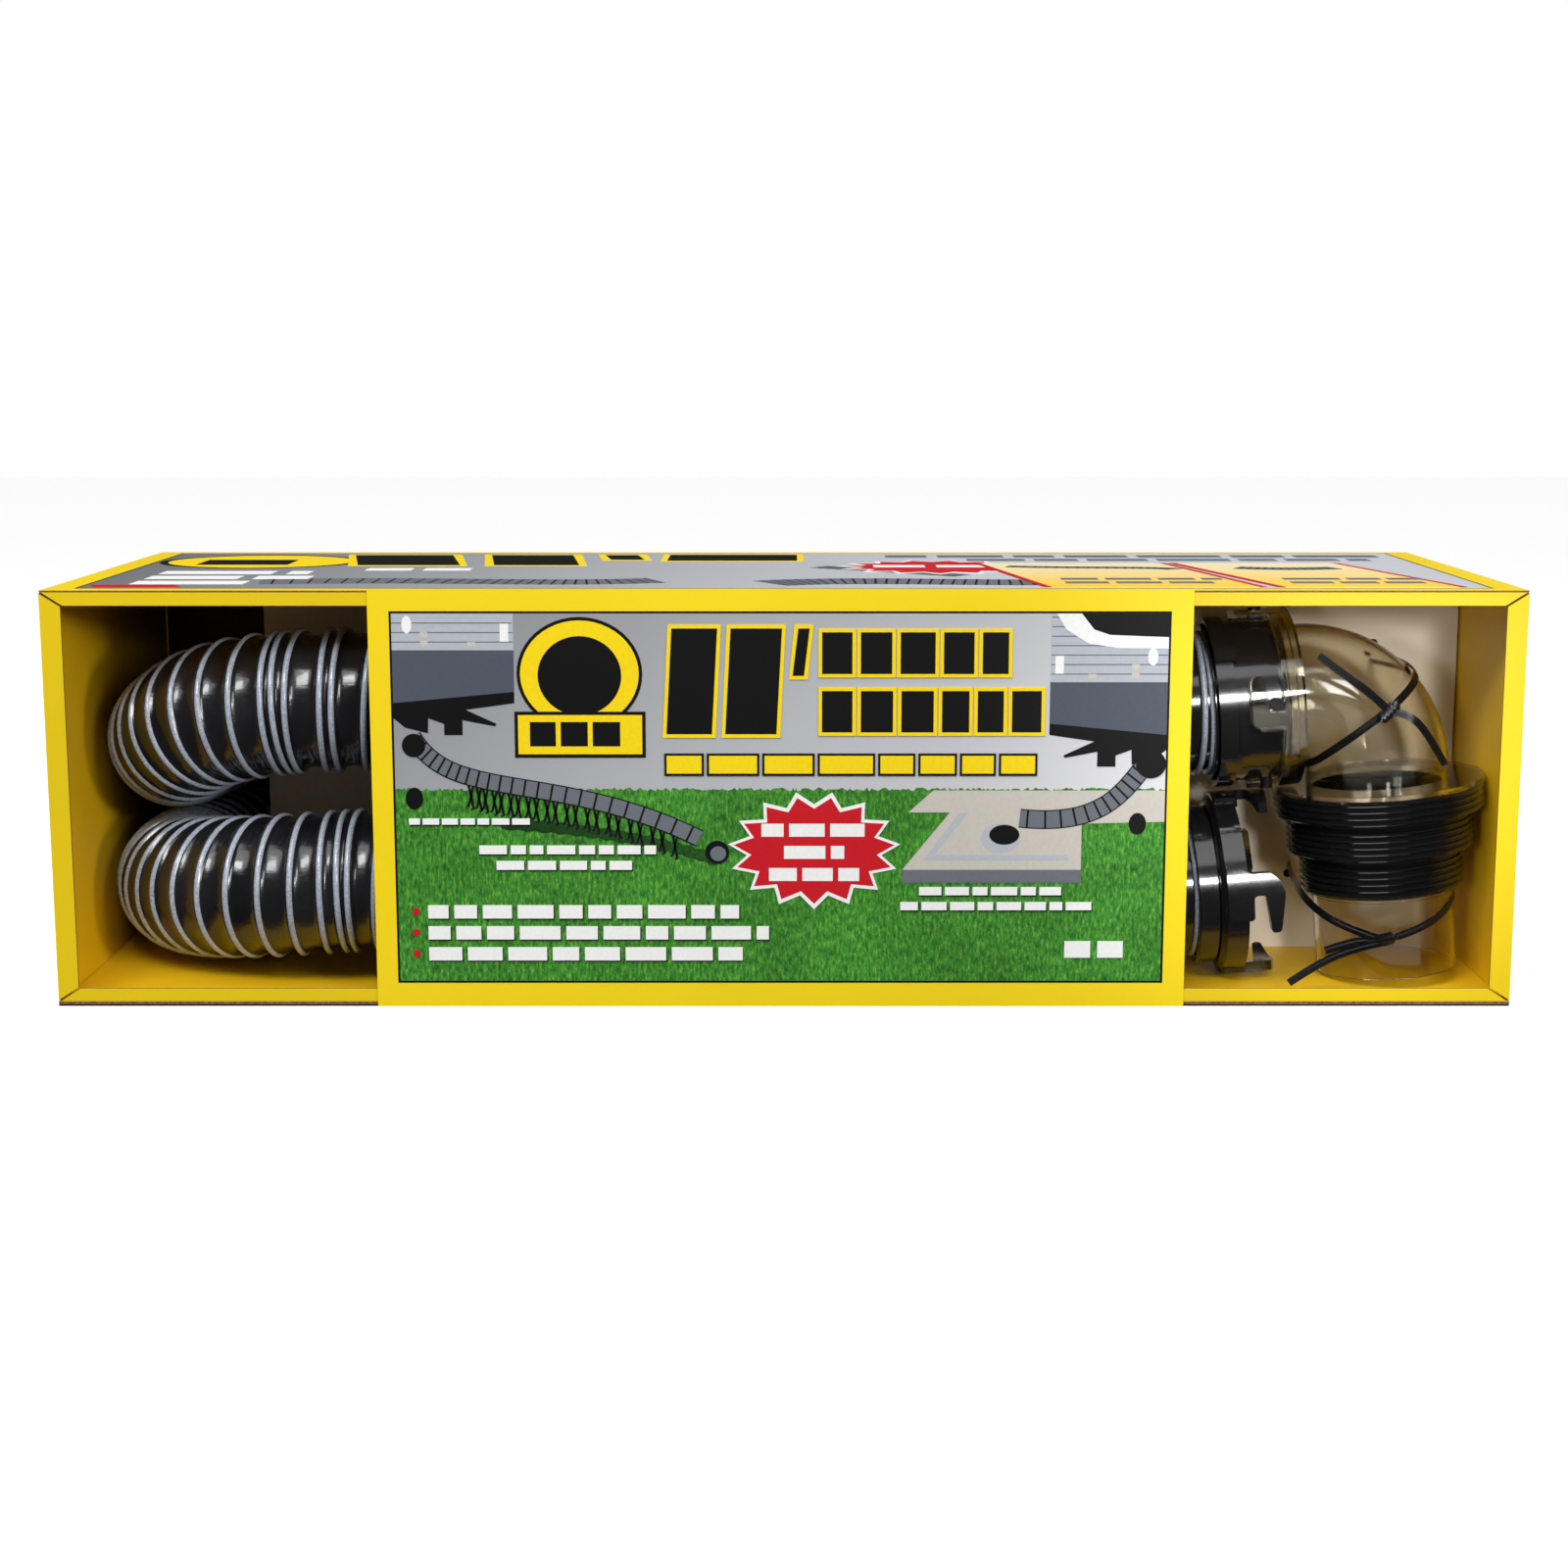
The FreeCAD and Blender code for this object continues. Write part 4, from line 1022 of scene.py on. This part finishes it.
def print_front_starburst(board):
    board.start_at(20)
    board.shape(starburst(16, 85.5, 46, 32), "white")
    board.shape(starburst(16, 85.5, 43, 29), "red")
    lines = [(-12, 93, 45, 100, 14), (0, 81, 32, 88, 15), (-8, 69, 40, 76, 16)]
    board.shapes(all_blocks(lines), "white")


def print_captions(board):
    """White blocks with a black shadow, on the lawn, and three that have a red dot each."""
    listed = (48.5, 37, 25.5)
    lines = [(-199, 99.5, -134, 102.8, 21), (-162, 83.5, -68, 88.2, 22), (-153, 75, -78, 79.8, 23),
             (72, 61.2, 152, 65.6, 24), (62, 53, 164, 57.4, 25)]
    for level, reach, seed in zip(listed, (-24, -8, -18), (31, 32, 33)):
        lines.append((-190, level, reach, level + 7.2, seed))
    captions = all_blocks(lines)
    board.shapes([[(x + 0.5, y - 0.6) for x, y in block] for block in captions], "black")
    board.shapes(captions, "white")
    board.shapes([oval(-196.5, level + 3.8, 1.9, 1.9) for level in listed], "red")
    board.shapes(word_blocks(150, 27, 190, 36, 41, 1.6), "white")


def make_front_panel(inks):
    """The windowed front's picture: a lawn, two caravan corners, hoses and plain blocks."""
    lo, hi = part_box("front_panel")
    front_yellow = tuple(part * FRONT_LIGHT for part in CARTON_YELLOW)
    stock = board_material("front_board", front_yellow, INNER_YELLOW_PAINTED_SHADE, 1, 1)
    face = lo[1] + PRINT_RELIEF
    board = Board("front_panel_print", lambda across, up, height: (across, face - height, up),
                  face - hi[1], inks)
    left, right, low, high = lo[0] / MM, hi[0] / MM, lo[2] / MM, hi[2] / MM
    board.shape(rect(left, low, right, high), stock)
    line = 1.2  # the width of the black line round the picture
    board.shape(rect(PICTURE_LEFT - line, PICTURE_LOW - line, PICTURE_RIGHT + line, PICTURE_TOP + line),
                "black")
    print_sky_and_lawn(board)
    print_caravans(board)
    print_supported_hose(board)
    print_slab_and_hose(board)
    print_disc_and_plate(board)
    print_title(board)
    print_front_starburst(board)
    print_captions(board)
    board.make("carton", "front_panel")


def print_lid_hoses(board):
    """Three hoses that lie across the lid's field."""
    for middle, steps, width in (([(-285, -78), (-180, -60), (-130, -96), (-70, -70)], 90, 30),
                                 ([(-8, -88), (40, -58), (110, -92), (165, -80)], 90, 34),
                                 ([(100, -40), (60, -8), (20, 20)], 50, 16)):
        board.start_at(3)
        print_hose(board, curved(middle, steps), width, 3)


def print_lid_left(board):
    """The plain disc, the white lines below it and a red bar."""
    board.start_at(3)
    board.shape(oval(-312, 58, 60, 50), "black")
    board.shape(oval(-312, 58, 55, 45), "yellow")
    board.shapes(word_blocks(-346, 34, -278, 70, 51, 1.5), "black")
    lines = [(-352, -30, -268, -10, 52), (-352, -62, -262, -42, 53), (-352, -94, -276, -74, 54),
             (-240, -6, -180, 10, 55)]
    board.shapes(all_blocks(lines), "white")
    board.shape(rect(-366, -112, -320, -98, -6), "red")


def print_lid_title(board):
    """The big bordered blocks, two grey lines and a starburst."""
    board.start_at(6)
    big = [(-250, 30, -190, 106, -14), (-170, 30, -120, 106, -10), (-104, 70, -84, 106, -6)]
    print_words(board, [rect(*block) for block in big], "black", "yellow", 5)
    print_words(board, word_blocks(-70, 62, 40, 108, 56, 1.7), "black", "yellow", 4)
    board.shapes(all_blocks([(62, 88, 372, 104, 57), (110, 62, 352, 76, 58)]), "grey")
    board.start_at(8)
    board.shape(starburst(88, 18, 58, 50), "white")
    board.shape(starburst(88, 18, 53, 45), "red")
    board.shapes(word_blocks(52, 14, 122, 30, 59), "white")


def print_lid_frames(board):
    """Two warm fields with red edges, a hose and grey lines on each."""
    warm = gradient("lid_warm", (0.0, 1.0, 0.0), -0.11, 0.05,
                    [(0.0, ink(232, 190, 46)), (1.0, ink(226, 216, 178))])
    board.shapes([rect(142, -112, 252, 44, -26), rect(262, -112, 362, 44, -34)], warm)
    edges = ((138, -26), (252, -30), (262, -34), (358, -34))
    board.shapes([rect(edge, -112, edge + 4, 44, lean) for edge, lean in edges], "red")
    print_hose(board, curved([(130, 20), (170, 6), (215, 16), (225, 0)], 60), 12, 3)
    print_hose(board, curved([(262, 10), (290, -4), (318, 8)], 40), 14, 3)
    lines = [(152, -70, 240, -60, 60), (152, -92, 232, -82, 61), (274, -70, 350, -60, 62),
             (274, -92, 346, -82, 63)]
    board.shapes(all_blocks(lines), "grey")


def make_lid(inks):
    """The lid's print: a grey field with the same plain blocks, drawn along the carton."""
    lo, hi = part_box("lid")
    lid_yellow = tuple(part * LID_LIGHT for part in CARTON_YELLOW)
    stock = board_material("lid_board", lid_yellow, INNER_YELLOW_PAINTED_SHADE, 2, -1)
    face = hi[2] - PRINT_RELIEF
    board = Board("lid_print", lambda across, up, height: (across, up, face + height),
                  lo[2] - face, inks)
    left, right, low, high = lo[0] / MM, hi[0] / MM, lo[1] / MM, hi[1] / MM
    board.shape(rect(left, low, right, high), stock)
    board.shape(rect(left + 15, low + 12, right - 15, high - 9), "black")
    field = gradient("lid_field", (1.0, 0.0, 0.0), -0.39, 0.12,
                     [(0.0, ink(104, 106, 110)), (0.5, ink(152, 154, 158)), (1.0, ink(184, 186, 192))])
    board.shape(rect(left + 16.5, low + 13.5, right - 16.5, high - 10.5), field)
    print_lid_hoses(board)
    print_lid_left(board)
    print_lid_title(board)
    print_lid_frames(board)
    board.make("lid", "lid")


# ---- the carried-over parts


HOSE_ENDS = ("upper_front", "upper_back", "lower_front", "lower_back")


def dress(nodes, material):
    """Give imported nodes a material."""
    for node in nodes:
        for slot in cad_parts[node].material_slots:
            slot.material = material


def dress_ends(part, material):
    """Give one part of every hose end a material."""
    dress([f"{place}_{part}" for place in HOSE_ENDS], material)


def dress_parts():
    """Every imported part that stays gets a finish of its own."""
    boards = (("tray_floor", 2, 1), ("tray_back", 1, -1), ("left_end", 0, 1), ("right_end", 0, -1),
              ("bottom_lip", 1, 1), ("top_lip", 1, 1), ("left_post", 1, 1), ("right_post", 1, 1))
    for node, thin_axis, inner_sign in boards:
        # painted shade: the lips and posts take the darker copy of the yellow
        outer = FRAME_YELLOW_PAINTED_SHADE if node.endswith(("lip", "post")) else CARTON_YELLOW
        # painted shade: the back tray's inner face is dark brown, and the other inner faces are a
        # darker yellow
        inner = TRAY_BACK_PAINTED_SHADE if node == "tray_back" else INNER_YELLOW_PAINTED_SHADE
        dress([node], board_material(node + "_board", outer, inner, thin_axis, inner_sign))
    dress(["base_sheet"], varied("base_board", ink(30, 30, 34), 0.5, 0.2, 300.0, 0.0001))
    dress(["divider"], board_material("divider_board", DIVIDER_BUFF, DIVIDER_BUFF, 1, 1, 0.7))
    black = moulded_black()
    dress_ends("cuff", black)
    dress_ends("collar", black)
    dress(["thread_adapter"], moulded_black("thread_black", 0.0035, 0.11, 0.00003))
    dress_ends("retainer", satin_grey())
    dress_ends("gasket", seal_rubber())
    dress(["elbow_pipe", "spigot_pipe", "bayonet_ring"], clear_moulding())


make_camera()
make_hoses()
make_stage()
dress_parts()
make_ties()
make_front_panel(print_inks("front", FRONT_LIGHT))
make_lid(print_inks("lid", LID_LIGHT))
